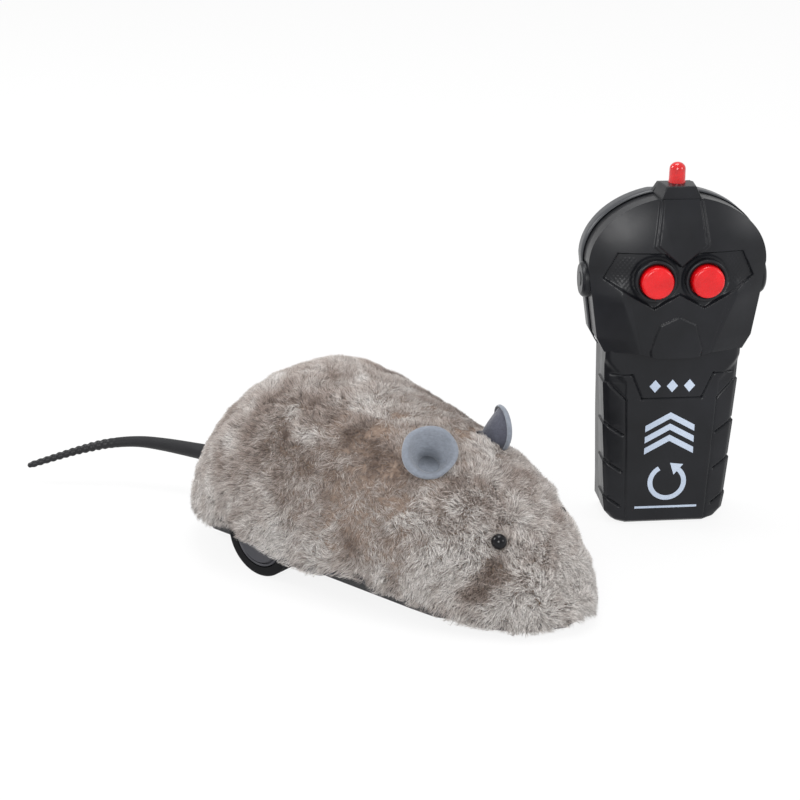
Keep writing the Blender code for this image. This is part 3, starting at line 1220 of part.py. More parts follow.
def remote_body():
    """Head, handle and aerial block in one, which the seam then parts."""
    head = add("head_form", head_dome(0), "remote")
    handle = add("handle_form", slab(handle_outline(), handle_front, handle_back), "remote")
    soften(handle, HANDLE_EDGE, 2)
    wide, narrow = (HEAD_HALF_WIDTH * share for share in ANTENNA_HALF_SHARES)
    crown = head_base + HEAD_HEIGHT
    aerial = add("aerial_form", slab([(-wide, crown - 2 * wide), (wide, crown - 2 * wide),
                                      (wide, crown), (narrow, antenna_top), (-narrow, antenna_top),
                                      (-wide, crown)], *ANTENNA_DEPTH), "remote")
    spear = add("spear_form", slab(mirrored([head_point(*shares) for shares in SPEAR_SHARES]),
                                   face_y - OVERRUN, 0), "remote")
    keep(spear, add("spear_face", head_dome(0, -SPEAR_PROUD), "remote"))

    notches = []
    for share in NOTCH_HEIGHT_SHARES:
        for side in (1, -1):
            x = side * handle_half_width
            z = handle_top * share
            inner = side * handle_half_width * (1 - NOTCH_REACH_SHARE)
            drop = handle_half_width * NOTCH_REACH_SHARE * math.tan(NOTCH_ANGLE)
            far = x * (1 + NOTCH_REACH_SHARE)
            notches.append(slab([(inner, z - drop), (far, z + drop), (far, z + drop - NOTCH_WIDTH),
                                 (inner, z - drop - NOTCH_WIDTH / 2)],
                                handle_front - OVERRUN, handle_front + NOTCH_DEPTH))
    notch_cut = add("notches", group(*notches), "remote")
    front_limit = handle_front + GROOVE_DEPTH
    handle_lines = []
    for start, end in HANDLE_GROOVE_SHARES:
        for side in (1, -1):
            handle_lines.append(groove(*[(side * handle_half_width * a, handle_top * b)
                                         for a, b in (start, end)], handle_front - OVERRUN,
                                       front_limit))
    handle_cut = [add("handle_line", line, "remote") for line in handle_lines]
    chin_lines = []
    for start, end in CHIN_GROOVE_SHARES:
        for side in (1, -1):
            points = [head_point(a, b) for a, b in (start, end)]
            chin_lines.append(groove(*[(side * a, b) for a, b in points],
                                     face_y - OVERRUN, 0))
    chin_cut = [add("chin_line", line, "remote") for line in chin_lines]
    chin_floor = add("chin_floor", head_dome(0, GROOVE_DEPTH), "remote")
    for line in chin_cut:
        cut(line, chin_floor)

    recess = add("panel_recess", panel_slab(0), "remote")
    cut(recess, add("recess_floor", head_dome(0, PANEL_RECESS), "remote"))
    buttons = add("button_holes", group(*[
        rod((side * button_x, button_face, button_z), (side * button_x, HEAD_EDGE_FRONT, button_z),
            BUTTON_RADIUS + GAP, FINE_STEPS) for side in (1, -1)]), "remote")
    cavity = add("head_hollow", head_dome(REMOTE_WALL), "remote")
    handle_cavity = add("handle_hollow", block(
        (-handle_half_width * HANDLE_WIDTH_SHARES[1] + REMOTE_WALL, handle_front + REMOTE_WALL,
         REMOTE_WALL), (handle_half_width * HANDLE_WIDTH_SHARES[1] - REMOTE_WALL,
                        handle_back - REMOTE_WALL, divider_base)), "remote")
    floor = add("head_floor", block((-HEAD_HALF_WIDTH * 2, -HEAD_HALF_WIDTH, 0),
                                    (HEAD_HALF_WIDTH * 2, HEAD_HALF_WIDTH,
                                     divider_base + DIVIDER_THICKNESS)), "remote")
    cut(cavity, floor)
    screw_posts = add("screw_posts", group(*[
        rod((side * x, face_y, z), (side * x, HEAD_EDGE_BACK + HEAD_BACK_DOME, z),
            BOSS_RADIUS, SMALL_STEPS) for x, z in remote_posts for side in (1, -1)]), "remote")
    cut(cavity, screw_posts)
    board_posts = add("board_posts", group(*[
        rod((0, face_y, z), (0, remote_board_y - GAP, z), POST_RADIUS, SMALL_STEPS)
        for z in (remote_board_z[0] + 2 * POST_RADIUS, remote_board_z[1] - 2 * POST_RADIUS)]), "remote")
    cut(cavity, board_posts)

    lamp_hole = add("lamp_hole", rod((0, 0, antenna_top - LIGHT_ROOT - GAP),
                                     (0, 0, antenna_top + OVERRUN), LIGHT_RADIUS + GAP), "remote")
    caps = add("cap_seats", group(*[
        rod((side * (HEAD_HALF_WIDTH - SIDE_CAP_PEG - GAP), 0, side_cap_z),
            (side * (HEAD_HALF_WIDTH + OVERRUN), 0, side_cap_z), SIDE_CAP_RADIUS + GAP)
        for side in (1, -1)]), "remote")
    x, z = remote_posts[1]
    pilot = add("shell_screw_holes", group(*[
        rod((side * x, HEAD_EDGE_FRONT / 2, z), (side * x, HEAD_EDGE_BACK + 2 * OVERRUN, z),
            SCREW_RADIUS + GAP, SMALL_STEPS) for side in (1, -1)]), "remote")
    sink_y = HEAD_EDGE_BACK
    sinks = add("shell_screw_sinks", group(*[
        rod((side * x, sink_y, z), (side * x, sink_y + 2 * OVERRUN, z),
            SCREW_HEAD_RADIUS + GAP, SMALL_STEPS) for side in (1, -1)]), "remote")
    reach = 3 * HEAD_HALF_WIDTH
    behind = add("behind_seam", block((-reach, REMOTE_SEAM - GAP / 2, -OVERRUN),
                                      (reach, reach, 2 * reach)), "remote")
    before = add("before_seam", block((-reach, -reach, -OVERRUN),
                                      (reach, REMOTE_SEAM + GAP / 2, 2 * reach)), "remote")
    door_hole = add("door_hole", block(
        (-remote_door_half, REMOTE_CELL_Y, remote_door_z[0]),
        (remote_door_half, handle_back + OVERRUN, remote_door_z[1])), "remote")

    front = add("remote_front_shell", head_dome(0), "remote", "black_plastic")
    unite(front, handle, aerial, spear)
    cut(front, behind, recess, cavity, handle_cavity, buttons, notch_cut, *handle_cut, *chin_cut,
        lamp_hole, caps, pilot)
    rear = add("remote_rear_shell", head_dome(0), "remote", "black_plastic")
    unite(rear, handle, aerial)
    cut(rear, before, cavity, handle_cavity, door_hole, lamp_hole, caps, pilot, sinks)
    for word, side in (("left", -1), ("right", 1)):
        add(f"remote_screw_{word}", turned_screw(
            (side * x, sink_y + GAP + SCREW_HEAD_HEIGHT, z), (0, -1, 0),
            sink_y + GAP - HEAD_EDGE_FRONT / 2 - 3 * GAP), "remote", "steel")


def groove(start, end, low, high):
    """A slot along a line on the face."""
    start, end = Vector((*start, 0)), Vector((*end, 0))
    side = (end - start).normalized().cross(Vector((0, 0, 1))) * GROOVE_WIDTH / 2
    corners = [start + side, end + side, end - side, start - side]
    return slab([(corner.x, corner.y) for corner in corners], low, high)


def inset_outline(outline, inset):
    """A closed outline moved inwards by the same distance along all its sides."""
    points = [Vector((x, z)) for x, z in outline]
    turns = sum(a.x * b.y - b.x * a.y for a, b in zip(points, points[1:] + points[:1]))
    moved = []
    for before, here, after in zip(points[-1:] + points[:-1], points, points[1:] + points[:1]):
        sides = [(here - before).normalized(), (after - here).normalized()]
        inward = [math.copysign(1, turns) * Vector((-side.y, side.x)) for side in sides]
        moved.append(here + (inward[0] + inward[1]) * inset / (1 + inward[0].dot(inward[1])))
    return [(point.x, point.y) for point in moved]


def panel_slab(inset):
    outline = mirrored([head_point(*shares) for shares in PANEL_SHARES])
    return slab(inset_outline(outline, inset), face_y - OVERRUN, 0)


def remote_face():
    panel = add("remote_face_panel", panel_slab(2 * GAP), "remote", "black_plastic")
    outer = add("panel_front", head_dome(0, PANEL_SINK), "remote")
    inner = add("panel_back", head_dome(0, PANEL_SINK + PANEL_THICKNESS), "remote")
    keep(panel, outer)
    cut(panel, inner)
    ring_inner = BUTTON_RADIUS + GAP
    holes = []
    for side in (1, -1):
        collar = add("collar", rod((side * button_x, collar_face, button_z),
                                   (side * button_x, collar_face + 2 * PANEL_RECESS, button_z),
                                   ring_inner + COLLAR_WALL, FINE_STEPS), "remote")
        cut(collar, inner)
        unite(panel, collar)
        holes.append(rod((side * button_x, button_face, button_z), (side * button_x, 0, button_z),
                         ring_inner, FINE_STEPS))
    cut(panel, add("collar_holes", group(*holes), "remote"))
    for word, side in (("left", -1), ("right", 1)):
        face, flange = -button_face, -button_flange_y
        dome = [(BUTTON_RADIUS * wide, face - BUTTON_DOME * drop) for wide, drop in BUTTON_DOME_SHARES]
        turned(f"{word}_button", dome + [
            (BUTTON_RADIUS, flange), (BUTTON_FLANGE_RADIUS, flange),
            (BUTTON_FLANGE_RADIUS, flange - BUTTON_FLANGE), (0, flange - BUTTON_FLANGE)],
            (side * button_x, 0, button_z), (0, -1, 0), f"{word}_button_pivot", "red_plastic")
        seat = HEAD_HALF_WIDTH - SIDE_CAP_PEG
        rim = HEAD_HALF_WIDTH + SIDE_CAP_PROUD
        turned(f"remote_side_cap_{word}", [
            (0, rim), (SIDE_CAP_RADIUS * SIDE_CAP_FLAT_SHARE, rim),
            (SIDE_CAP_RADIUS, rim - SIDE_CAP_PROUD / 2),
            (SIDE_CAP_RADIUS, seat), (0, seat)], (0, 0, side_cap_z), (side, 0, 0), "remote",
            "black_plastic", STEPS)
    tip = [(LIGHT_RADIUS * wide, light_top - LIGHT_RADIUS * drop) for wide, drop in LIGHT_TOP_SHARES]
    turned("indicator_light", tip + [(LIGHT_RADIUS, antenna_top - LIGHT_ROOT),
                                     (0, antenna_top - LIGHT_ROOT)],
           (0, 0, 0), (0, 0, 1), "remote", "red_lens", STEPS)


def remote_inside():
    spread = cell_spread
    base = remote_cell_base
    top = base + CELL_LENGTH + CELL_NUB_LENGTH
    add("remote_cell_right", cell((spread, REMOTE_CELL_Y, base), (0, 0, 1)), "remote", "cell")
    add("remote_cell_left", cell((-spread, REMOTE_CELL_Y, top), (0, 0, -1)), "remote", "cell")
    contact_bridge("remote_contact_bridge", [(side * spread, REMOTE_CELL_Y, REMOTE_WALL + GAP)
                                             for side in (1, -1)], (0, 0, 1), "remote")
    low, high = remote_board_z
    back = remote_board_y + BOARD_THICKNESS
    board = add("remote_board", block((-remote_board_half, remote_board_y, low),
                                      (remote_board_half, back, high)), "remote", "board")
    chip = remote_board_half / 4
    base = back - BOARD_THICKNESS / 2
    unite(board, add("remote_board_parts", group(
        block((-chip, base, low + chip), (chip, base + chip / 2, low + 3 * chip)),
        rod((2 * chip, base, high - 2 * chip), (2 * chip, base + chip, high - 2 * chip),
            chip / 2, SMALL_STEPS)), "remote"))
    pad_front = button_flange_y + BUTTON_FLANGE + BUTTON_TRAVEL + GAP
    pad_back = remote_board_y - GAP
    membrane = add("button_membrane", block(
        (-button_x - PAD_RADIUS, pad_back - PAD_SHEET, button_z - PAD_RADIUS),
        (button_x + PAD_RADIUS, pad_back, button_z + PAD_RADIUS)), "remote", "rubber")
    unite(membrane, add("button_domes", group(*[
        rod((side * button_x, pad_back - PAD_SHEET / 2, button_z), (side * button_x, pad_front, button_z),
            PAD_RADIUS * PAD_TAPER_SHARES[0], STEPS, PAD_RADIUS * PAD_TAPER_SHARES[1])
        for side in (1, -1)]), "remote"))

    half = remote_door_half - GAP
    base_z = remote_door_z[0] + DOOR_HINGE_GAP
    top_z = remote_door_z[1] - GAP
    door = add("remote_battery_door", block((-half, handle_back - DOOR_THICKNESS, base_z),
                                            (half, handle_back, top_z)),
               "remote_door_pivot", "black_plastic")
    screw_z = top_z - 2 * SCREW_HEAD_RADIUS
    cut(door, add("remote_door_hole", rod((0, handle_back - 2 * OVERRUN, screw_z),
                                          (0, handle_back + OVERRUN, screw_z), SCREW_RADIUS + GAP,
                                          SMALL_STEPS), "remote_door_pivot"))
    cut(door, add("remote_door_sink", rod((0, handle_back - DOOR_THICKNESS / 2, screw_z),
                                          (0, handle_back + OVERRUN, screw_z),
                                          SCREW_HEAD_RADIUS + GAP, SMALL_STEPS), "remote_door_pivot"))
    head = DOOR_THICKNESS / 2 - GAP
    add("remote_door_screw", turned_screw((0, handle_back, screw_z), (0, -1, 0),
                                          DOOR_THICKNESS - head, SCREW_RADIUS, SCREW_HEAD_RADIUS,
                                          head), "remote_door_pivot", "steel")


def centre_on_floor():
    """Moves the whole set so that the middle of its box's underside is the origin."""
    bpy.context.view_layer.update()
    graph = bpy.context.evaluated_depsgraph_get()
    corners = []
    for thing in PARTS.objects:
        if thing.type == "EMPTY":
            continue
        evaluated = thing.evaluated_get(graph)
        mesh = evaluated.to_mesh()
        corners += [thing.matrix_world @ vert.co for vert in mesh.vertices]
        evaluated.to_mesh_clear()
    low = Vector([min(corner[i] for corner in corners) for i in range(3)])
    high = Vector([max(corner[i] for corner in corners) for i in range(3)])
    PLACES["whole_set"][0].location = -Vector(((low.x + high.x) / 2, (low.y + high.y) / 2, low.z))
    bpy.context.view_layer.update()
    print("SIZE", [round((high[i] - low[i]) / MM, 2) for i in range(3)])
    for name, (empty, _) in PLACES.items():
        print("PLACE", name, [round(value, 6) for value in empty.matrix_world.translation])


skins()
ears_and_eyes()
tail()
chassis()
wheels()
drive_train()
motor()
mouse_power()
caster()
build_remote_places()
remote_body()
remote_face()
remote_inside()
centre_on_floor()
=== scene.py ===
import json
import math

import bmesh
import bpy
import numpy as np
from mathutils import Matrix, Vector


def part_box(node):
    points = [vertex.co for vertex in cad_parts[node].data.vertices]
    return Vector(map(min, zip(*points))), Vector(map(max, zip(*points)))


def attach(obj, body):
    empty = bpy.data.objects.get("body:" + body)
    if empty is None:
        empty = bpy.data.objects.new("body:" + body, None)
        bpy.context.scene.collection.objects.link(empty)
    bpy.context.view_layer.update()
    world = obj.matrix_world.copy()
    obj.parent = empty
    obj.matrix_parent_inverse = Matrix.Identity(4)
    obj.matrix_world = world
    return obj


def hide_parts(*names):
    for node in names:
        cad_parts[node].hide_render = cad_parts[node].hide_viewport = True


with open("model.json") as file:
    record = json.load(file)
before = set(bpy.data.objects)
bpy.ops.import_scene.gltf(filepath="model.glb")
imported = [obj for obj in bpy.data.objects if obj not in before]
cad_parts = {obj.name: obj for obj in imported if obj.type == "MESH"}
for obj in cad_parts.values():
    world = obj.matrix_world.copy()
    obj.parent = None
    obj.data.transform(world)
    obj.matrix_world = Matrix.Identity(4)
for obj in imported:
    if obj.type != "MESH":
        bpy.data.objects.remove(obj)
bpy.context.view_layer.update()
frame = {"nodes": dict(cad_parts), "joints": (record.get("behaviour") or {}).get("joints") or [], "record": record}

MM = 0.001
NODES = frame["nodes"]
JOINTS = {joint["name"]: Vector(joint["pos_m"]) / MM for joint in frame["joints"] if "pos_m" in joint}

# Where the mouse and the hand control stand, in millimetres
AXLE_SPOT = Vector((3.4, 0.0, 11.5))
MOUSE = JOINTS["rear_axle_spin"] - AXLE_SPOT
YAW = math.radians(45)
DOOR_HINGE_DEPTH = 9.8
REMOTE_X = Vector((math.cos(YAW), math.sin(YAW), 0))
REMOTE_Y = Vector((-math.sin(YAW), math.cos(YAW), 0))
REMOTE = JOINTS["remote_battery_door_hinge"] - REMOTE_Y * DOOR_HINGE_DEPTH
REMOTE.z = 0


def mouse_points(points):
    return (np.asarray(points, float) + np.array(MOUSE)) * MM


def remote_points(points):
    points = np.asarray(points, float)
    turn = np.array([REMOTE_X, REMOTE_Y, (0, 0, 1)])
    return (points @ turn + np.array(REMOTE)) * MM


def add_object(name, data):
    thing = bpy.data.objects.new(name, data)
    bpy.context.scene.collection.objects.link(thing)
    return thing


# Camera
CAMERA_PLACE = (317.83, -346.10, 217.27)
CAMERA_FORWARD = Vector((-0.6016, 0.7192, -0.3477)).normalized()
FOCAL_PIXELS, PHOTO_PIXELS, SENSOR = 1705.9, 800, 36.0
camera_data = bpy.data.cameras.new("camera")
camera_data.sensor_width = SENSOR
camera_data.lens = FOCAL_PIXELS / PHOTO_PIXELS * SENSOR
camera_data.clip_start = 0.02
camera_data.clip_end = 20
camera = add_object("camera", camera_data)
camera.location = mouse_points(CAMERA_PLACE)
camera.rotation_euler = CAMERA_FORWARD.to_track_quat("-Z", "Y").to_euler()
bpy.context.scene.camera = camera
bpy.context.scene.view_settings.view_transform = "Standard"


# Materials
class Shader:
    """A node material with short helpers."""

    def __init__(self, name):
        self.material = bpy.data.materials.new(name)
        self.material.use_nodes = True
        self.tree = self.material.node_tree
        self.surface = self.tree.nodes["Principled BSDF"]
        self.place = self.add("ShaderNodeTexCoord").outputs["Object"]

    def add(self, kind, **settings):
        node = self.tree.nodes.new(kind)
        for key, value in settings.items():
            setattr(node, key, value)
        return node

    def link(self, output, socket):
        self.tree.links.new(output, socket)

    def set(self, **values):
        for key, value in values.items():
            self.surface.inputs[key.replace("_", " ")].default_value = value

    def paint(self, colour, rough=None):
        """Colour, and a roughness that varies over a pattern: rough is (pattern, low, high)."""
        self.link(colour, self.surface.inputs["Base Color"])
        if rough:
            self.link(self.span(*rough), self.surface.inputs["Roughness"])

    def attribute(self, name):
        return self.add("ShaderNodeAttribute", attribute_name=name).outputs["Fac"]

    def noise(self, scale, detail=4.0, rough=0.55, stretch=(1, 1, 1)):
        node = self.add("ShaderNodeTexNoise")
        node.inputs["Scale"].default_value = scale
        node.inputs["Detail"].default_value = detail
        node.inputs["Roughness"].default_value = rough
        mapping = self.add("ShaderNodeMapping")
        mapping.inputs["Scale"].default_value = stretch
        self.link(self.place, mapping.inputs["Vector"])
        self.link(mapping.outputs["Vector"], node.inputs["Vector"])
        return node.outputs["Fac"]

    def ramp(self, value, stops):
        node = self.add("ShaderNodeValToRGB")
        elements = node.color_ramp.elements
        while len(elements) < len(stops):
            elements.new(0.5)
        for element, (at, colour) in zip(elements, stops):
            element.position = at
            element.color = (*colour, 1)
        self.link(value, node.inputs["Fac"])
        return node.outputs["Color"]

    def span(self, value, low, high):
        """The value from 0 to 1 spread over another range."""
        node = self.add("ShaderNodeMapRange")
        node.inputs["To Min"].default_value = low
        node.inputs["To Max"].default_value = high
        self.link(value, node.inputs["Value"])
        return node.outputs["Result"]

    def maths(self, operation, first, second):
        node = self.add("ShaderNodeMath", operation=operation)
        for socket, value in zip(node.inputs, (first, second)):
            if isinstance(value, (int, float)):
                socket.default_value = value
            else:
                self.link(value, socket)
        return node.outputs[0]

    def mix(self, amount, first, second, blend="MIX"):
        node = self.add("ShaderNodeMix", data_type="RGBA", blend_type=blend)
        sockets = {"Factor_Float": amount, "A_Color": first, "B_Color": second}
        for socket in node.inputs:
            value = sockets.get(socket.identifier)
            if value is None:
                continue
            if isinstance(value, (int, float)):
                socket.default_value = value
            elif isinstance(value, tuple):
                socket.default_value = (*value, 1)
            else:
                self.link(value, socket)
        return next(out for out in node.outputs if out.identifier == "Result_Color")

    def bump(self, height, strength, distance=0.0002):
        node = self.add("ShaderNodeBump")
        node.inputs["Strength"].default_value = strength
        node.inputs["Distance"].default_value = distance
        self.link(height, node.inputs["Height"])
        self.link(node.outputs["Normal"], self.surface.inputs["Normal"])


def srgb(*levels):
    """A colour from its 0 to 255 screen levels."""
    return tuple(((level / 255 + 0.055) / 1.055)**2.4 if level > 10 else level / 255 / 12.92
                 for level in levels)


def moulded(name, light, dark, rough=(0.32, 0.5), grain=1500, bump=0.12, **extra):
    """Moulded plastic: a slight mottle of colour, fine grain and uneven gloss."""
    shader = Shader(name)
    mottle = shader.noise(60, 3)
    fine = shader.noise(grain, 2)
    shader.paint(shader.ramp(mottle, [(0.3, dark), (0.7, light)]), (shader.noise(240, 4), *rough))
    shader.bump(fine, bump, 0.00005)
    shader.set(**extra)
    return shader.material


def make_fur():
    shader = Shader("plush_fur")
    along = shader.attribute("along")
    tint = shader.attribute("tint")
    tone = shader.attribute("tone")
    # tone runs from brown to near-white tips: the coat's own colour, with painted shade at the brown end and
    # painted sheen at the silver end.
    root = shader.ramp(tone, [(0.0, srgb(82, 69, 63)), (0.5, srgb(134, 124, 117)),
                              (1.0, srgb(180, 174, 169))])
    tip = shader.ramp(tone, [(0.0, srgb(126, 108, 99)), (0.3, srgb(182, 167, 158)),
                             (0.55, srgb(215, 205, 199)), (0.8, srgb(238, 232, 228)),
                             (1.0, srgb(252, 250, 248))])
    colour = shader.mix(along, root, tip)
    vary = shader.ramp(tint, [(0.0, srgb(92, 85, 82)), (0.25, srgb(184, 178, 174)),
                              (0.6, srgb(244, 241, 239)), (1.0, srgb(255, 255, 255))])
    shader.paint(shader.mix(0.9, colour, vary, "MULTIPLY"))
    shader.set(Roughness=0.6, Specular_IOR_Level=0.2, Sheen_Weight=0.2, Sheen_Roughness=0.5)
    return shader.material


def make_shaded_backing():
    shader = Shader("plush_shaded_backing")
    # The backing cloth's colour, darkened as painted shade for the gaps between the fibres.
    weave = shader.noise(900, 3)
    shader.paint(shader.ramp(weave, [(0.3, srgb(104, 88, 78)), (0.7, srgb(140, 124, 112))]))
    shader.set(Roughness=0.95, Specular_IOR_Level=0.1)
    shader.bump(weave, 0.6, 0.0004)
    return shader.material


def make_felt(name, light, dark):
    shader = Shader(name)
    fibres = shader.noise(1400, 5, 0.7)
    streaks = shader.noise(600, 3, 0.6, (1, 1, 2.6))
    clouds = shader.noise(110, 3)
    colour = shader.mix(shader.span(clouds, 0.1, 0.7), light, dark)
    colour = shader.mix(shader.span(fibres, 0.0, 0.7), colour, tuple(0.5 * part for part in dark))
    colour = shader.mix(shader.span(streaks, -0.3, 0.45), colour, light)
    # Painted shade: the felt darkens towards the pocket at the ear's foot.
    colour = shader.mix(shader.maths("MULTIPLY", shader.attribute("painted_pocket_shade"), 0.9), colour,
                        tuple(0.15 * part for part in dark))
    shader.paint(colour)
    shader.set(Roughness=0.92, Specular_IOR_Level=0.15, Sheen_Weight=0.35, Sheen_Roughness=0.4)
    shader.bump(fibres, 0.8, 0.0003)
    return shader.material


def make_metal(name, light, dark, rough=(0.2, 0.42)):
    shader = Shader(name)
    brushed = shader.noise(500, 4, 0.6, (1, 1, 8))
    shader.paint(shader.ramp(brushed, [(0.25, dark), (0.75, light)]), (brushed, *rough))
    shader.set(Metallic=1.0)
    shader.bump(brushed, 0.15, 0.00004)
    return shader.material


def make_board():
    shader = Shader("circuit_board")
    cells = shader.add("ShaderNodeTexVoronoi", feature="DISTANCE_TO_EDGE", distance="CHEBYCHEV")
    cells.inputs["Scale"].default_value = 260
    shader.link(shader.place, cells.inputs["Vector"])
    tracks = shader.maths("LESS_THAN", cells.outputs["Distance"], 0.09)
    base = shader.ramp(shader.noise(90), [(0.3, srgb(22, 74, 44)), (0.7, srgb(34, 98, 58))])
    shader.paint(shader.mix(tracks, base, srgb(66, 132, 84)))
    shader.set(Roughness=0.38)
    shader.bump(tracks, 0.3, 0.00006)
    return shader.material


def make_cell():
    """A battery's printed sleeve: plain bands with no words."""
    shader = Shader("cell_sleeve")
    split = shader.add("ShaderNodeSeparateXYZ")
    shader.link(shader.place, split.inputs["Vector"])
    bands = shader.maths("PINGPONG", shader.maths("ADD", split.outputs["X"], split.outputs["Y"]), 0.011)
    edge = shader.maths("LESS_THAN", bands, 0.0022)
    base = shader.ramp(shader.noise(80), [(0.3, srgb(38, 70, 120)), (0.7, srgb(52, 88, 142))])
    shader.paint(shader.mix(edge, base, srgb(196, 162, 84)), (shader.noise(400), 0.22, 0.36))
    shader.set(Metallic=0.35, Coat_Weight=0.4, Coat_Roughness=0.12)
    return shader.material


def make_lens():
    shader = Shader("red_lens")
    clouds = shader.noise(300, 3)
    shader.paint(shader.ramp(clouds, [(0.3, srgb(186, 6, 12)), (0.7, srgb(220, 20, 24))]),
                 (shader.noise(700), 0.05, 0.16))
    shader.set(Transmission_Weight=0.2, IOR=1.5, Coat_Weight=0.3, Coat_Roughness=0.05)
    return shader.material


def make_button():
    shader = Shader("red_button")
    shader.paint(shader.ramp(shader.noise(160, 3), [(0.3, srgb(184, 5, 13)), (0.7, srgb(206, 11, 19))]),
                 (shader.noise(600, 3), 0.2, 0.34))
    shader.set(Specular_IOR_Level=0.35, Coat_Weight=0.15, Coat_Roughness=0.12, Subsurface_Weight=0.08,
               Subsurface_Radius=(0.002, 0.0004, 0.0004))
    shader.bump(shader.noise(2200, 2), 0.06, 0.00003)
    return shader.material


LOOKS = {
    "plush": make_fur(),
    "backing": make_shaded_backing(),
    "felt": make_felt("ear_felt", srgb(152, 158, 168), srgb(102, 108, 118)),
    # Painted shade: a darker copy of the ear felt for the ears' backs, which sit in shade.
    "felt_shaded_back": make_felt("ear_felt_shaded_back", srgb(96, 98, 110), srgb(66, 68, 78)),
    "hem": make_felt("hem_cloth", srgb(52, 56, 64), srgb(28, 30, 38)),
    "bead": moulded("glossy_bead", srgb(12, 12, 16), srgb(5, 5, 8), (0.08, 0.16), 900, 0.02,
                    Specular_IOR_Level=0.25),
    "tail_rubber": moulded("tail_rubber", srgb(24, 25, 29), srgb(13, 13, 16), (0.36, 0.56), 1300, 0.25,
                           Specular_IOR_Level=0.35),
    "tyre_rubber": moulded("tyre_rubber", srgb(14, 14, 16), srgb(8, 8, 10), (0.6, 0.8), 1300, 0.35,
                           Specular_IOR_Level=0.14),
    "wheel_plastic": moulded("wheel_plastic", srgb(46, 46, 52), srgb(34, 34, 40), (0.42, 0.6)),
    "chassis_plastic": moulded("chassis_plastic", srgb(34, 34, 37), srgb(22, 22, 25), (0.38, 0.58)),
    "gear_plastic": moulded("gear_plastic", srgb(232, 228, 216), srgb(212, 206, 192), (0.3, 0.45),
                            1500, 0.1, Subsurface_Weight=0.1, Subsurface_Radius=(0.001, 0.001, 0.001)),
    "steel": make_metal("steel", srgb(196, 196, 200), srgb(150, 152, 158)),
    "cell_case": make_cell(),
    "circuit_board": make_board(),
    "wire_red": moulded("wire_red", srgb(190, 30, 28), srgb(150, 18, 18), (0.35, 0.5)),
    "wire_black": moulded("wire_black", srgb(30, 30, 32), srgb(16, 16, 18), (0.35, 0.5)),
    "remote_plastic": moulded("remote_plastic", srgb(25, 26, 30), srgb(17, 18, 21), (0.26, 0.4),
                              1800, 0.16, Specular_IOR_Level=0.24),
    # Painted reflection: a lighter copy of the hand control's plastic for its rear band, which reflects the light.
    "remote_edge_painted_sheen": moulded("remote_edge_painted_sheen", srgb(52, 54, 58), srgb(42, 44, 48), (0.3, 0.42), 1800, 0.16),
    "remote_matte": moulded("remote_matte", srgb(30, 30, 34), srgb(21, 21, 24), (0.5, 0.66), 1400, 0.3,
                            Specular_IOR_Level=0.3),
    "red_button": make_button(),
    "red_lens": make_lens(),
    "print": moulded("pale_print", srgb(176, 187, 203), srgb(158, 170, 188), (0.45, 0.6), 2500, 0.3),
}


# Mesh helpers
def mesh_object(name, points, faces, look, body, slot, smooth=True, attributes=None):
    """A piece from points in metres, which rides on a body and takes its finish from its look; the slot is not
    used.
    """
    mesh = bpy.data.meshes.new(name)
    points = np.asarray(points, np.float32)
    if isinstance(faces, np.ndarray):
        count, size = faces.shape
        mesh.vertices.add(len(points))
        mesh.vertices.foreach_set("co", points.ravel())
        mesh.loops.add(count * size)
        mesh.loops.foreach_set("vertex_index", faces.astype(np.int32).ravel())
        mesh.polygons.add(count)
        mesh.polygons.foreach_set("loop_start", np.arange(0, count * size, size, dtype=np.int32))
        mesh.update(calc_edges=True)
    else:
        mesh.from_pydata([tuple(point) for point in points], [], faces)
    mesh.validate()
    mesh.polygons.foreach_set("use_smooth", np.full(len(mesh.polygons), smooth))
    for key, values in (attributes or {}).items():
        layer = mesh.attributes.new(key, "FLOAT", "POINT")
        layer.data.foreach_set("value", np.asarray(values, np.float32))
    thing = add_object(name, mesh)
    mesh.materials.append(LOOKS[look])
    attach(thing, body)
    return thing


def sharpen(thing, angle=35):
    """Smooth shading that keeps the edges sharper than the angle."""
    mesh = thing.data
    mesh.polygons.foreach_set("use_smooth", np.full(len(mesh.polygons), True))
    mesh.set_sharp_from_angle(angle=math.radians(angle))


def face_outwards(thing):
    """Turns every face of a closed piece outwards."""
    shape = bmesh.new()
    shape.from_mesh(thing.data)
    bmesh.ops.recalc_face_normals(shape, faces=shape.faces)
    shape.to_mesh(thing.data)
    shape.free()


def thicken(thing, thickness, offset):
    """Gives a sheet a thickness in millimetres: offset -1 puts it behind the sheet, 0 on both sides."""
    solid = thing.modifiers.new("thickness", "SOLIDIFY")
    solid.thickness = thickness * MM
    solid.offset = offset
    return solid


def grid_faces(rows, columns, wrap=False):
    """Quads between the points of a grid; wrap joins the last column to the first."""
    across = columns if wrap else columns - 1
    r, c = np.meshgrid(np.arange(rows - 1), np.arange(across), indexing="ij")
    following = (c + 1) % columns
    return np.stack([r * columns + c, r * columns + following, (r + 1) * columns + following,
                     (r + 1) * columns + c], -1).reshape(-1, 4)


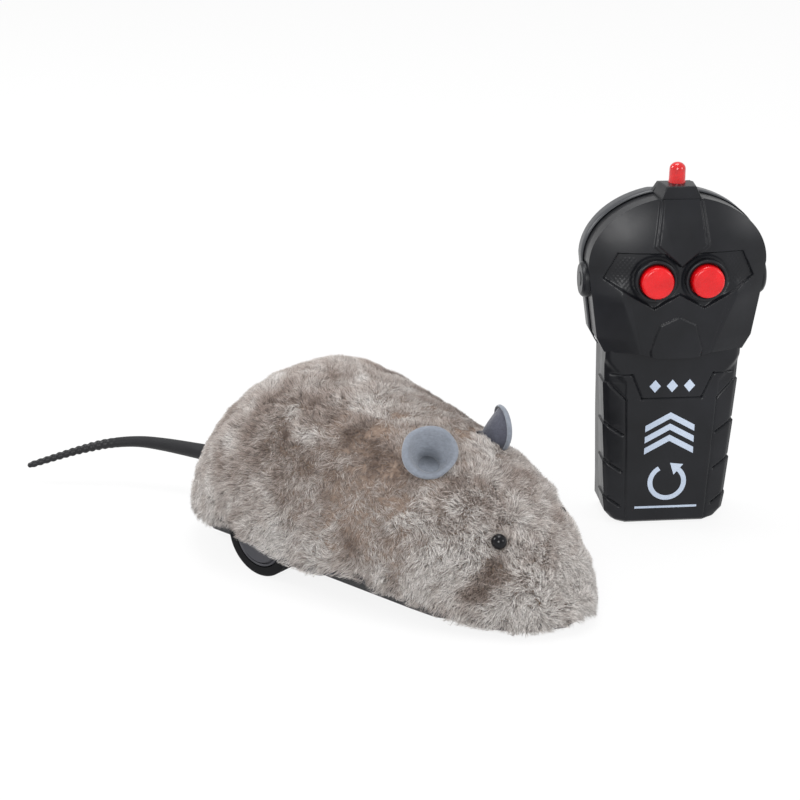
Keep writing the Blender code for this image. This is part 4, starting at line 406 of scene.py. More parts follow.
def lathe(name, profile, origin, axis, look, body, slot, steps=72, place=mouse_points, angle=35):
    """A turned piece: profile is (radius, height along the axis) from one end to the other."""
    axis = Vector(axis).normalized()
    side = axis.orthogonal().normalized()
    other = axis.cross(side)
    points, rings, faces = [], [], []
    for radius, height in profile:
        base = Vector(origin) + axis * height
        if radius < 1e-6:
            rings.append([len(points)])
            points.append(base)
            continue
        ring = []
        for step in range(steps):
            turn = 2 * math.pi * step / steps
            ring.append(len(points))
            points.append(base + (side * math.cos(turn) + other * math.sin(turn)) * radius)
        rings.append(ring)
    for low, high in zip(rings, rings[1:]):
        for step in range(steps):
            following = (step + 1) % steps
            face = []
            for index in (low[step % len(low)], low[following % len(low)],
                          high[following % len(high)], high[step % len(high)]):
                if index not in face:
                    face.append(index)
            if len(face) > 2:
                faces.append(face)
    thing = mesh_object(name, place(points), faces, look, body, slot)
    face_outwards(thing)
    sharpen(thing, angle)
    return thing


def rounded(middle, reach, first=0, last=90, steps=8):
    """Points of a profile round a middle, between two angles in degrees from its axis."""
    turns = [math.radians(first + (last - first) * i / steps) for i in range(steps + 1)]
    return [(middle[0] + reach[0] * math.sin(turn), middle[1] + reach[1] * math.cos(turn))
            for turn in turns]


def smoothstep(low, high, value):
    t = np.clip((value - low) / (high - low), 0, 1)
    return t * t * (3 - 2 * t)


def unit(ways, least=0.0):
    """Directions of length one; least keeps those of no length from growing."""
    return ways / np.maximum(np.linalg.norm(ways, axis=-1, keepdims=True), least)


def hermite(share, stations, values):
    """A smooth curve through a table of values, for an array."""
    stations, values = np.array(stations, float), np.array(values, float)
    slopes = np.gradient(values, stations)
    i = np.clip(np.searchsorted(stations, share) - 1, 0, len(stations) - 2)
    width = stations[i + 1] - stations[i]
    t = (share - stations[i]) / width
    return ((2 * t**3 - 3 * t**2 + 1) * values[i] + (t**3 - 2 * t**2 + t) * width * slopes[i]
            + (3 * t**2 - 2 * t**3) * values[i + 1] + (t**3 - t**2) * width * slopes[i + 1])


# Mouse body: the envelope of the fur's tips, in millimetres from the mouse's own origin
BODY_REAR, BODY_LENGTH, BODY_WIDTH, BODY_HEIGHT = -40.02, 133.4, 77.8, 57.1
OUTLINE_SHARES = (0, 0.012, 0.04, 0.12, 0.25, 0.38, 0.52, 0.66, 0.8, 0.9, 0.96, 1)
WIDTH_SHARES = (0.28, 0.44, 0.633, 0.86, 0.964, 0.958, 0.918, 0.846, 0.725, 0.545, 0.399, 0.194)
HEIGHT_SHARES = (0.25, 0.35, 0.532, 0.772, 0.948, 0.946, 0.883, 0.794, 0.642, 0.455, 0.326, 0.18)
HEM_SHARES = (0, 0.06, 0.12, 0.18, 0.22, 0.25, 0.29, 0.33, 0.38, 0.42, 0.5, 0.55, 0.6, 0.65, 0.7,
              0.75, 0.8, 0.85, 0.9, 0.95, 1)
HEM_HEIGHTS = (10.5, 10.6, 10.9, 11.6, 13, 13.6, 10.9, 10.3, 8.8, 7.6, 7.2, 9.2, 9, 7.6, 6.9,
               5.6, 3.9, 2.4, 1.7, 1.5, 1.4)
SIDE_POWER, CROWN_POWER = 0.8, 0.85
TUCK = 0.03
END_ROUND = 1.2
TRIM_SHARES = (0, 0.05, 0.09, 0.14, 0.2, 0.3, 0.4, 0.5, 0.6, 0.7, 0.77, 0.86, 0.92, 1)
TRIMS = (0.8, 1.5, 1.8, 1.1, 0.3, 0.7, 1.0, 1.7, 1.9, 1.5, 0.7, 0.1, 0.5, 0.4)
ROOT_DEPTH = 3.0
RINGS, RING_POINTS = 130, 81


def body_sizes(share):
    half = BODY_WIDTH / 2 * hermite(share, OUTLINE_SHARES, WIDTH_SHARES)
    top = BODY_HEIGHT * hermite(share, OUTLINE_SHARES, HEIGHT_SHARES)
    hem = hermite(share, HEM_SHARES, HEM_HEIGHTS)
    return half, top, hem


def body_top(x, y):
    """Height of the envelope over a spot."""
    half, top, hem = body_sizes(np.array([(x - BODY_REAR) / BODY_LENGTH]))
    angle = math.acos(min(abs(y) / half[0], 1)**(1 / SIDE_POWER))
    return float(hem[0] + (top[0] - hem[0]) * math.sin(angle)**CROWN_POWER)


def envelope():
    """Rings of points along the body, with rounded ends, and their outward normals."""
    share = (1 - np.cos(np.linspace(0, math.pi, RINGS))) / 2
    half, top, hem = body_sizes(share)
    angle = np.linspace(0, math.pi, RING_POINTS)
    across = -np.cos(angle)
    crown = np.sin(angle)**CROWN_POWER
    crown[0] = crown[-1] = 0
    side = np.sign(across) * np.abs(across)**SIDE_POWER * (1 - TUCK * (1 - crown)**4)
    x = BODY_REAR + END_ROUND + share * (BODY_LENGTH - 2 * END_ROUND)
    rings = np.stack([np.repeat(x[:, None], RING_POINTS, 1),
                      half[:, None] * side[None, :],
                      hem[:, None] + (top - hem)[:, None] * crown[None, :]], -1)
    ends = []
    for ring, sign in ((rings[0], -1), (rings[-1], 1)):
        middle = np.array([ring[0, 0], 0, ring[0, 2] + 0.35 * (ring[:, 2].max() - ring[0, 2])])
        caps = []
        for scale, push in ((0.88, 0.8), (0.66, 1.6), (0.36, 2.2), (0.04, 2.4)):
            cap = middle + (ring - middle) * scale
            cap[:, 0] += sign * push
            caps.append(cap)
        ends.append(caps)
    grid = np.array(ends[0][::-1] + list(rings) + ends[1])
    normal = unit(np.cross(np.gradient(grid, axis=1), np.gradient(grid, axis=0)), 1e-9)
    middle = np.stack([grid[..., 0].mean(1), np.zeros(len(grid)), grid[..., 2].mean(1) * 0.7], -1)
    if ((grid - middle[:, None]) * normal).sum() < 0:
        normal = -normal
    return grid, normal


def share_at(points):
    """How far along the body points lie, from 0 at its rear to 1 at its nose."""
    return np.clip((points[:, 0] - BODY_REAR) / BODY_LENGTH, 0, 1)


def above_hem(points):
    """How high points lie over the coat's lower edge."""
    return points[:, 2] - body_sizes(share_at(points))[2]


def trim_at(points):
    """How far the coat's tips lie under the drawn outline: its shoulders are sheared flatter."""
    return hermite(share_at(points), TRIM_SHARES, TRIMS) * smoothstep(1.5, 9, above_hem(points))


def waves(points, seed, size, layers=14):
    """Smooth noise at points in millimetres: sums of sine waves about that size, from -1 to 1."""
    draw = np.random.default_rng(seed)
    total = np.zeros(len(points))
    for _ in range(layers):
        way = draw.normal(size=3)
        way *= 2 * math.pi / (size * draw.uniform(0.7, 1.8)) / np.linalg.norm(way)
        total += np.sin(points @ way + draw.uniform(0, 2 * math.pi))
    return total / math.sqrt(layers / 2)


def wave_ways(points, seed, size, layers=14):
    """Smooth noise along x, y and z, from three seeds in a row."""
    return np.stack([waves(points, seed + axis, size, layers) for axis in range(3)], -1)


# Ears: a felt disc gathered into a pocket at its foot; the left one sits further forward and lower
EAR_SHARES = (0.6823, 0.1838)
EAR_SHIFTS = {"right": (0.6, -0.7, 0.4), "left": (2.0, 1.3, -1.6)}
EAR_RADII = {"right": 6.2, "left": 5.8}
EAR_RISE, EAR_DEPTH = 2.4, 7.0
EAR_POCKET = (-0.16, -0.95)
EAR_TURN = math.radians(52)
EAR_TILTS = {"right": math.radians(14), "left": math.radians(-2)}
EAR_SINK = 2.5
EAR_THICKNESS, EAR_ROLL = 0.9, 0.45
EAR_STEPS, EAR_RINGS, ROLL_RINGS = 120, 30, 9


def ear_frame(word):
    """The middle of an ear's rim, and its directions across, up and out."""
    side = 1 if word == "left" else -1
    x = BODY_REAR + BODY_LENGTH * EAR_SHARES[0]
    y = side * BODY_WIDTH * EAR_SHARES[1]
    middle = Vector((x, y, body_top(x, y) + EAR_RISE)) + Vector(EAR_SHIFTS[word])
    turn = side * EAR_TURN
    tilt = EAR_TILTS[word]
    out = Vector((math.cos(tilt) * math.cos(turn), math.cos(tilt) * math.sin(turn), math.sin(tilt)))
    up = (Vector((0, 0, 1)) - out * out.z).normalized()
    return middle, up.cross(out) * (-side), up, out


def clear_of_ears(points):
    """True for the points that lie outside both ears' bowls."""
    keep = np.ones(len(points), bool)
    for word in ("left", "right"):
        middle, across, up, out = ear_frame(word)
        offset = points - np.array(middle)
        depth = -(offset @ np.array(out))
        share = np.clip(1 - depth / EAR_DEPTH, 0, 1)
        radius = EAR_RADII[word]
        a = offset @ np.array(across) - EAR_POCKET[0] * radius * (1 - share)
        b = offset @ np.array(up) - EAR_POCKET[1] * radius * (1 - share)
        reach = (radius + 0.9) * share + 0.5 * (1 - share)
        keep &= (np.hypot(a, b) > reach) | (depth < -1.2) | (depth > EAR_DEPTH)
    return keep


# Eyes
EYE_SHARES = (0.8622, 0.1979)
EYE_RADIUS = 2.15
EYE_SINKS = {"right": 1.8, "left": 4.0}
EYE_SHIFTS = {"right": 0.0, "left": -1.0}
EYE_OPENINGS = {"right": 0.0, "left": 0.7}
EYE_X, EYE_Y = BODY_REAR + BODY_LENGTH * EYE_SHARES[0] - 0.3, BODY_WIDTH * EYE_SHARES[1] - 0.8


def clear_of_eyes(points, margin):
    """True for the points further than the margin from both eye beads' edges."""
    keep = np.ones(len(points), bool)
    for word, side in (("left", 1), ("right", -1)):
        reach = np.hypot(points[:, 0] - EYE_X - EYE_SHIFTS[word], points[:, 1] - side * EYE_Y)
        keep &= reach > EYE_RADIUS + EYE_OPENINGS[word] + margin
    return keep


# Fur: a short dense pile whose fibres lie flatter where it is silver and stand where it is brown
FUR_PIECES, FIBRES_EACH = 6, 47000
TUFT_PIECES, TUFTS_EACH = 2, 19000
FUR_SEED = 20
FIBRE_RADII, FIBRE_REACHES = (0.07, 0.115), (0.3, 1.9)
TUFT_RADII, TUFT_REACHES, TUFT_DEPTH = (0.06, 0.1), (1.2, 2.8), ROOT_DEPTH * 0.85
BACKING_LOWEST, BACKING_THICKNESS = 1.2, 0.4
# Brown patches are the coat's brown roots with painted shade; silver patches are its silver tips with painted
# sheen.
BROWN_SHADE_PATCHES = (((-2, -29, 43), 3.4, 0.34), ((-2, -22, 49), 3.4, 0.38), ((-1, -18, 52), 2.6, 0.28),
                 ((10, -17, 51), 4.5, 0.38), ((18, -19, 49), 5, 0.44), ((29, -17, 47), 6, 0.4),
                 ((9, -27, 44), 3, 0.3), ((44, -21, 41), 6, 0.5), ((36, -22, 44), 6, 0.45),
                 ((30, -32, 31), 3, 0.3), ((30, -34, 26), 3, 0.3), ((38, -34, 20), 3.6, 0.36),
                 ((76, -19, 20), 3, 0.5), ((79, -19, 17), 3, 0.5), ((75, -23, 14), 3.6, 0.5),
                 ((73, -25, 11), 2.6, 0.4), ((91, -9, 10), 3.4, 0.3), ((79, 9, 26), 2.2, 0.36),
                 ((60, -21, 34), 2, 0.3), ((0, -37, 20), 2.6, 0.3), ((27, -29, 38), 5, 0.18),
                 ((17, -30, 39), 4, 0.14))
SILVER_SHEEN_PATCHES = (((25, -7, 51), 6, 0.42), ((14, 2, 54), 2.6, 0.3), ((17, -25, 45), 3.6, 0.46),
                  ((7, -21, 49), 3.6, 0.3), ((-10, -32, 38), 3.2, 0.26), ((-14, -36, 23), 3, 0.3),
                  ((-10, -14, 52), 5.3, 0.2), ((22, -32, 33), 3.6, 0.26), ((49, -29, 29), 4, 0.22),
                  ((56, -26, 29), 3.4, 0.25), ((62, -28, 20), 9, 0.28), ((69, -22, 25), 8, 0.28),
                  ((63, -17, 35), 5, 0.22), ((56, 7, 42), 4.6, 0.36), ((77, -6, 28), 5, 0.25),
                  ((27, -36, 13), 5, 0.3), ((12, -37, 13), 5, 0.3), ((85, -18, 10), 4.3, 0.2),
                  ((93, 7, 6), 1.6, 0.5), ((58, -31, 12), 5.5, 0.2), ((-5, -37, 21), 3, 0.2),
                  ((74, 6, 30), 4.3, 0.15), ((89, -3, 12), 9, 0.22))
FAR_SIDE_SHIFT = 6


def tone_at(points):
    """The coat's tone, from 0 for brown to 1 for silver: partly its own colour, partly painted shade in the brown
    patches and painted sheen in the silver ones.
    """
    value = 0.54 + 0.06 * waves(points, 31, 14) + 0.08 * waves(points, 32, 6)
    value += 0.2 * smoothstep(30, 10, points[:, 2]) + 0.12 * smoothstep(62, 84, points[:, 0])
    value += 0.06 * waves(points, 33, 2.5) + 0.26 * smoothstep(-22, -38, points[:, 0])
    far_side = points * (1, -1, 1) + (FAR_SIDE_SHIFT, 0, 0)
    for patches, sign in ((BROWN_SHADE_PATCHES, -1), (SILVER_SHEEN_PATCHES, 1)):
        for place, radius, amount in patches:
            for seen, beyond in ((points, 1), (far_side, smoothstep(8, 16, points[:, 1]))):
                distance = np.linalg.norm(seen - place, axis=1)
                value += sign * amount * beyond * np.exp(-(distance / radius)**2)
    return np.clip(value, 0, 1)


def along_skin(ways, facing):
    """Directions with their part off the skin taken out."""
    return unit(ways - facing * (ways * facing).sum(-1, keepdims=True), 1e-6)


def flow_at(points, normals):
    """The way that the fur lies: back and down, with swirls."""
    lean = np.zeros_like(points)
    lean[:, 0] = -0.55
    lean[:, 2] = -0.5 - 0.5 * np.abs(normals[:, 1])
    return along_skin(lean + (0.75 * wave_ways(points, 11, 24) + 0.4 * wave_ways(points, 14, 7)), normals)


def sample(grid, normal, count, draw):
    """Points spread evenly over the envelope, and its normals there."""
    faces = grid_faces(*grid.shape[:2])
    tris = np.concatenate([faces[:, [0, 1, 2]], faces[:, [0, 2, 3]]])
    flat, flat_normal = grid.reshape(-1, 3), normal.reshape(-1, 3)
    a, b, c = (flat[tris[:, i]] for i in range(3))
    area = np.linalg.norm(np.cross(b - a, c - a), axis=-1)
    chosen = np.searchsorted(np.cumsum(area) / area.sum(), draw.random(count))
    first, second = draw.random(count), draw.random(count)
    over = first + second > 1
    first[over], second[over] = 1 - first[over], 1 - second[over]
    weights = np.stack([1 - first - second, first, second], -1)[..., None]
    corners = tris[chosen]
    place = (flat[corners] * weights).sum(1)
    return place, unit((flat_normal[corners] * weights).sum(1))


def lie(place, facing, spread, draw):
    """Directions along the skin in which fibres lean."""
    flow = flow_at(place, facing) + 0.45 * wave_ways(place, 17, 2.2, 10)
    return along_skin(flow + draw.normal(0, spread, place.shape), facing)


def build_fur(grid, normal):
    draw = np.random.default_rng(FUR_SEED)
    for piece in range(FUR_PIECES):
        place, facing = sample(grid, normal, FIBRES_EACH, draw)
        tone = np.clip(tone_at(place) + draw.normal(0, 0.05, len(place)), 0, 1)
        root = place - facing * ROOT_DEPTH
        bumps = 0.28 * waves(place, 41, 7) + 0.16 * waves(place, 42, 2.6)
        height = ROOT_DEPTH - trim_at(place) + bumps + draw.normal(0, 0.16, len(place)) - 0.15
        reach = draw.uniform(*FIBRE_REACHES, len(place)) * (0.6 + 0.9 * tone)
        over_hem = above_hem(place)
        flow = lie(place, facing, 0.42, draw)
        droop = smoothstep(3.5, 0.5, over_hem)
        rear = smoothstep(-2, -8, place[:, 0])
        reach += 1.1 * droop * rear
        flow[:, 2] -= 0.8 * droop
        tip = root + facing * height[:, None] + flow * reach[:, None]
        tuft = smoothstep(0.5, 0.85, 0.5 + 0.5 * waves(place, 43, 5))
        bare = 1.3 * smoothstep(8, 14, place[:, 0]) * (1 - tuft)
        keep = over_hem > bare * draw.uniform(0.7, 1.2, len(place))
        keep &= clear_of_ears(tip) & clear_of_ears((root + tip) / 2)
        keep &= clear_of_eyes(place, -0.6)
        lowest = np.maximum(place[:, 2] - over_hem - 0.3 - 1.6 * rear, 0.3)
        tip[:, 2] = np.maximum(tip[:, 2], lowest + draw.uniform(0, 1.1, len(tip)))
        radius = draw.uniform(*FIBRE_RADII, len(place))
        spikes(f"fur_{piece}", root[keep], tip[keep], radius[keep], tone[keep], draw)


def build_tufts(grid, normal):
    """Longer, softly bent fibres: sparse over the coat, dense in its silver patches, and fewer, shorter and bent
    down along the hem.
    """
    draw = np.random.default_rng(FUR_SEED + 1)
    for piece in range(TUFT_PIECES):
        place, facing = sample(grid, normal, TUFTS_EACH * 3, draw)
        tone = tone_at(place)
        over_hem = above_hem(place)
        fringe = smoothstep(4.5, 2.5, over_hem) * smoothstep(0.4, 0.8, over_hem)
        chance = np.clip(0.2 + smoothstep(0.5, 0.95, tone) - 0.5 * fringe, 0, 1)
        keep = draw.random(len(place)) < chance * 0.62
        keep &= clear_of_eyes(place, 0.9)
        place, facing, tone, fringe = place[keep], facing[keep], tone[keep], fringe[keep]
        flow = lie(place, facing, 0.28, draw)
        flow[:, 2] -= 0.7 * fringe
        flow = unit(flow)
        root = place - facing * TUFT_DEPTH
        reach = draw.uniform(*TUFT_REACHES, len(place)) * (1 - 0.35 * fringe)
        height = TUFT_DEPTH - trim_at(place) + 0.25 * waves(place, 41, 7)
        height += draw.normal(0, 0.15, len(place)) - 0.1
        tip = root + facing * height[:, None] + flow * reach[:, None]
        middle = root + facing * (0.72 * height)[:, None] + flow * (0.35 * reach)[:, None]
        tip[:, 2] = np.maximum(tip[:, 2], place[:, 2] - above_hem(place) + draw.uniform(-0.2, 0.9, len(tip)))
        keep = clear_of_ears(tip) & clear_of_ears(middle)
        chosen = np.flatnonzero(keep)[:TUFTS_EACH]
        tone = np.clip(tone + 0.12 + draw.normal(0, 0.06, len(tone)), 0, 1)
        bent_fibres(f"fur_tufts_{piece}", root[chosen], middle[chosen], tip[chosen], tone[chosen], draw)


def cross_section(way, radius, draw):
    """Three corners round each fibre."""
    way = unit(way)
    side = unit(np.cross(way, draw.normal(size=way.shape)))
    other = np.cross(way, side)
    turns = [2 * math.pi * step / 3 for step in range(3)]
    return [(side * math.cos(turn) + other * math.sin(turn)) * radius[:, None] for turn in turns]


SPIKE_FACES = ((2, 1, 0), (0, 1, 3), (1, 2, 3), (2, 0, 3))
BENT_FACES = ((2, 1, 0), (0, 1, 4), (0, 4, 3), (1, 2, 5), (1, 5, 4), (2, 0, 3), (2, 3, 5), (3, 4, 6),
              (4, 5, 6), (5, 3, 6))


def fibres(name, corners, tip, pattern, along, tone, draw):
    """A piece of closed fibres: each has the corners, a tip, and the pattern's faces between them."""
    count, size = len(tip), len(corners) + 1
    points = np.stack([*corners, tip], 1).reshape(-1, 3)
    faces = (np.array(pattern)[None] + size * np.arange(count)[:, None, None]).reshape(-1, 3)
    mesh_object(name, mouse_points(points), faces, "plush", "chassis", "plush",
                attributes={"along": np.tile(along, count), "tint": np.repeat(draw.random(count), size),
                            "tone": np.repeat(tone, size)})


def spikes(name, root, tip, radius, tone, draw):
    """Straight tapered fibres."""
    corners = [root + corner for corner in cross_section(tip - root, radius, draw)]
    fibres(name, corners, tip, SPIKE_FACES, [0, 0, 0, 1.0], tone, draw)


def bent_fibres(name, root, middle, tip, tone, draw):
    """Tapered fibres with one bend."""
    corners = cross_section(tip - root, draw.uniform(*TUFT_RADII, len(root)), draw)
    rings = [root + corner for corner in corners] + [middle + corner * 0.85 for corner in corners]
    fibres(name, rings, tip, BENT_FACES, [0, 0, 0, 0.6, 0.6, 0.6, 1.0], tone, draw)


grid, normal = envelope()
skin = grid - normal * ROOT_DEPTH
skin[..., 2] = np.maximum(skin[..., 2], BACKING_LOWEST)
# The backing under the fur takes the darkened cloth, which paints the shade between the fibres.
cover = mesh_object("plush_cover", mouse_points(skin.reshape(-1, 3)), grid_faces(*skin.shape[:2]),
                    "backing", "chassis", "plush")
thicken(cover, BACKING_THICKNESS, -1)
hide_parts("fur_cover")
build_fur(grid, normal)
build_tufts(grid, normal)


# Hem: the dark cloth edge that shows under the fur
HEM_INSET, HEM_TALL, HEM_THICKNESS, HEM_STEPS = 1.8, 2.0, 0.7, 170


def build_hem():
    share = (1 - np.cos(np.linspace(0, math.pi, HEM_STEPS))) / 2
    half, top, hem = body_sizes(share)
    x = BODY_REAR + END_ROUND + HEM_INSET + share * (BODY_LENGTH - 2 * (END_ROUND + HEM_INSET))
    right = np.stack([x, -(half * (1 - TUCK) - HEM_INSET), hem], -1)
    left = right[::-1] * (1, -1, 1)
    line = np.concatenate([right, left])
    rows = []
    for rise, inward in ((0, 0.5), (0.25, 0.1), (0.8, 0), (HEM_TALL, 0.6)):
        row = line.copy()
        row[:, 1] *= 1 - inward / np.maximum(np.abs(line[:, 1]), 1)
        row[:, 2] += rise
        rows.append(row)
    points = np.stack(rows, 0).reshape(-1, 3)
    thing = mesh_object("hem_band", mouse_points(points), grid_faces(len(rows), len(line), wrap=True),
                        "hem", "chassis", "plush")
    thicken(thing, HEM_THICKNESS, 0)


build_hem()


def build_ear(word):
    """A bowl of felt; the two ears mirror each other, so the sides of their meshes swap."""
    right = word == "right"
    # The ears' backs take the darker felt, which paints their shade.
    behind, within = ("felt_shaded_back", "felt") if right else ("felt", "felt_shaded_back")
    middle, across, up, out = ear_frame(word)
    pocket = np.array(EAR_POCKET)
    points, painted_pocket_shade = [], []
    for ring in range(EAR_RINGS + ROLL_RINGS + 1):
        share = min(ring / EAR_RINGS, 1)
        curl = max(0, ring - EAR_RINGS) / ROLL_RINGS * math.radians(215)
        for step in range(EAR_STEPS):
            angle = 2 * math.pi * step / EAR_STEPS
            wobble = 1 + 0.015 * math.sin(3 * angle + 0.6) + 0.012 * math.sin(5 * angle + 2.0)
            rim = np.array([math.cos(angle) * wobble * 1.02, math.sin(angle) * wobble * 0.98])
            low_left = max(0, math.cos(angle - math.radians(215)))
            roll = EAR_ROLL * (0.8 + 0.9 * low_left)
            spot = (pocket + (rim - pocket) * share) * EAR_RADII[word]
            push = -EAR_DEPTH * (1 - share) + 0.5 * low_left * share**4
            push += 0.3 * math.sin(2 * angle + 1.0) * share**2
            push -= 0.9 * math.sin(math.pi * share) * max(0, math.sin(angle))
            spot = spot + rim * roll * (math.sin(curl) * 0.55 + (1 - math.cos(curl)) * 0.75)
            push += roll * (math.sin(curl) * 0.9 - (1 - math.cos(curl)) * 0.6)
            point = middle + across * spot[0] + up * spot[1] + out * push
            point.z = max(point.z, body_top(point.x, point.y) - EAR_SINK)
            points.append(point)
            # Painted shade in the pocket: 1 at its foot, fading to 0 partway up the bowl.
            painted_pocket_shade.append(max(0, 1 - share / 0.62)**0.7)
    thing = mesh_object(f"ear_felt_{word}", mouse_points(points),
                        grid_faces(EAR_RINGS + ROLL_RINGS + 1, EAR_STEPS, wrap=True), behind,
                        "chassis", "felt", attributes={"painted_pocket_shade": painted_pocket_shade})
    thing.data.materials.append(LOOKS[within])
    thick = thicken(thing, EAR_THICKNESS, 0)
    thick.material_offset = 1
    thick.material_offset_rim = 0 if right else 1
    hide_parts(f"ear_{word}")


build_ear("right")
build_ear("left")


for word, side in (("right", -1), ("left", 1)):
    bead = lathe(f"eye_bead_{word}", rounded((0, 0), (EYE_RADIUS, EYE_RADIUS), 180, 0, steps=14),
                 (EYE_X + EYE_SHIFTS[word], side * EYE_Y, body_top(EYE_X, EYE_Y) - EYE_SINKS[word]),
                 (0.3, side * 0.6, 0.7), "bead", "chassis", "bead", steps=32, angle=80)
    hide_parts(f"eye_{word}")


# Tail: a smooth taper, then ridges that end in a ball
TAIL_PIVOT = JOINTS["tail_flex"] - MOUSE
TAIL_LENGTH, TAIL_HEIGHT = 62.0, 14.8
TAIL_ROUTE = ((0, 0, 0.965), (0.177, 0.0097, 0.906), (0.403, 0.0903, 0.953),
              (0.548, 0.1548, 0.953), (0.677, 0.2355, 0.872), (0.782, 0.3194, 0.736),
              (0.871, 0.3968, 0.588), (1, 0.516, 0.358))
TAIL_RIDGES, TAIL_PITCH = 15, 2.2
TIP_DISTANCES, TAIL_RADII = (0, 15, 26, 37, 48, 60, 72), (0.95, 1.2, 1.52, 1.76, 2.15, 2.55, 2.6)
TAIL_STEP, TAIL_SIDES = 0.3, 20
TIP_ROUND = 1.25


def smooth_line(route, spacing):
    """Points at an even spacing along a smooth curve through the route, and their distances."""
    knots = [Vector(point) for point in route]
    padded = [2 * knots[0] - knots[1]] + knots + [2 * knots[-1] - knots[-2]]
    fine = []
    for a, b, c, d in zip(padded, padded[1:], padded[2:], padded[3:]):
        for step in range(16):
            t = step / 16
            fine.append(0.5 * (2 * b + (c - a) * t + (2 * a - 5 * b + 4 * c - d) * t**2
                               + (3 * b - a - 3 * c + d) * t**3))
    fine.append(knots[-1])
    fine = np.array(fine)
    travelled = np.concatenate([[0], np.cumsum(np.linalg.norm(np.diff(fine, axis=0), axis=1))])
    wanted = np.linspace(0, travelled[-1], round(travelled[-1] / spacing) + 1)
    return np.stack([np.interp(wanted, travelled, fine[:, i]) for i in range(3)], -1), wanted


def sweep(name, line, radii, sides, look, body, slot, place=mouse_points):
    """A round tube along a line with a radius at each point, closed at both ends."""
    way = unit(np.gradient(line, axis=0))
    side = unit(np.cross(way, (0, 0, 1.0)))
    other = np.cross(side, way)
    turn = 2 * math.pi * np.arange(sides) / sides
    ring = side[:, None] * np.cos(turn)[None, :, None] + other[:, None] * np.sin(turn)[None, :, None]
    points = (line[:, None] + ring * np.asarray(radii)[:, None, None]).reshape(-1, 3)
    faces = grid_faces(len(line), sides, wrap=True).tolist()
    faces.append(list(range(sides))[::-1])
    faces.append(list(range(len(points) - sides, len(points))))
    return mesh_object(name, place(points), faces, look, body, slot)


def build_tail():
    route = [(BODY_REAR - TAIL_LENGTH * back, -TAIL_LENGTH * aside, TAIL_HEIGHT * up)
             for back, aside, up in TAIL_ROUTE]
    line, travelled = smooth_line(route, TAIL_STEP)
    root_x = TAIL_PIVOT.x
    inner = np.arange(root_x + 1.6, line[0][0], -TAIL_STEP * 2)
    root = np.stack([inner, np.zeros(len(inner)), np.full(len(inner), line[0][2])], -1)
    whole = np.concatenate([root, line])
    lead = np.linalg.norm(root[0] - line[0])
    run = np.concatenate([np.linalg.norm(root - root[0], axis=1), travelled + lead])
    left = run[-1] - run
    radii = np.interp(left, TIP_DISTANCES, TAIL_RADII)
    ridged = left < TAIL_PITCH * (TAIL_RIDGES - 0.25)
    bead = np.abs(np.cos(math.pi * left / TAIL_PITCH))**1.3
    amount = 0.26 * smoothstep(TAIL_PITCH * TAIL_RIDGES, TAIL_PITCH * (TAIL_RIDGES - 5), left)
    radii = radii * (1 + np.where(ridged, amount * (bead - 0.55), 0))
    end = np.clip(left / TIP_ROUND, 0, 1)
    radii = np.where(left < TIP_ROUND, radii * np.sqrt(np.maximum(1 - (1 - end)**2, 0.02)), radii)
    radii[:4] *= (0.45, 0.72, 0.88, 0.97)
    tail = sweep("tail_skin", whole, radii, TAIL_SIDES, "tail_rubber", "tail", "tail_rubber")
    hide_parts("tail")


build_tail()


# Rear wheels
TYRE_RADIUS, TYRE_DEPTH = AXLE_SPOT.z, 2.7
TYRE_EDGE, TREAD_LINES, TREAD_DEPTH = 0.5, 14, 0.2
HUB_RADIUS, GROOVE = 7.4, 0.35


def cad_span(node, axis):
    """Low and high limit of a CAD node along an axis, in millimetres from the mouse's origin."""
    low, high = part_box(node)
    return low[axis] / MM - MOUSE[axis], high[axis] / MM - MOUSE[axis]


def build_wheels():
    for word, side in (("left", 1), ("right", -1)):
        low, high = sorted(abs(value) for value in cad_span(f"tyre_{word}", 1))
        tyre = [(TYRE_RADIUS - TYRE_DEPTH, high - 0.1), (TYRE_RADIUS - 1.3, high)]
        tyre += rounded((TYRE_RADIUS - TYRE_EDGE, high - TYRE_EDGE), (TYRE_EDGE, TYRE_EDGE))
        for i in range(TREAD_LINES):
            at = high - TYRE_EDGE - 0.3 - (high - low - 2 * TYRE_EDGE - 0.6) * i / (TREAD_LINES - 1)
            tyre.append((TYRE_RADIUS - (TREAD_DEPTH if i % 2 else 0.0), at))
        tyre += rounded((TYRE_RADIUS - TYRE_EDGE, low + TYRE_EDGE), (TYRE_EDGE, TYRE_EDGE), 90, 180)
        tyre += [(TYRE_RADIUS - TYRE_DEPTH, low), tyre[0]]
        axle = (AXLE_SPOT.x, 0, AXLE_SPOT.z)
        piece = lathe(f"tyre_skin_{word}", tyre, axle, (0, side, 0), "tyre_rubber", "axle_set",
                      "tyre_rubber", steps=120)
        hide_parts(f"tyre_{word}")
        rim = TYRE_RADIUS - TYRE_DEPTH - 0.3
        face = high + 0.25
        inner = low + 0.3
        hub = [(0, face + 0.25), (1.9, face + 0.2), (2.2, face - 0.15), (2.5, face - 0.2),
               (HUB_RADIUS - 1.3, face - 0.1), (HUB_RADIUS - 0.9, face), (HUB_RADIUS - 0.3, face),
               (HUB_RADIUS, face - 0.3), (HUB_RADIUS, face - 1.1), (HUB_RADIUS + GROOVE, face - 1.1),
               (HUB_RADIUS + GROOVE, high - 0.25), (HUB_RADIUS + GROOVE + 0.2, high - 0.05),
               (rim - 0.2, high - 0.05), (rim, high - 0.25), (rim, inner), (1.9, inner),
               (1.9, high - 2.2), (0, high - 2.2)]
        piece = lathe(f"wheel_skin_{word}", hub, axle, (0, side, 0), "wheel_plastic", "axle_set",
                      "chassis_plastic", steps=96, angle=30)
        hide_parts(f"wheel_{word}")


build_wheels()


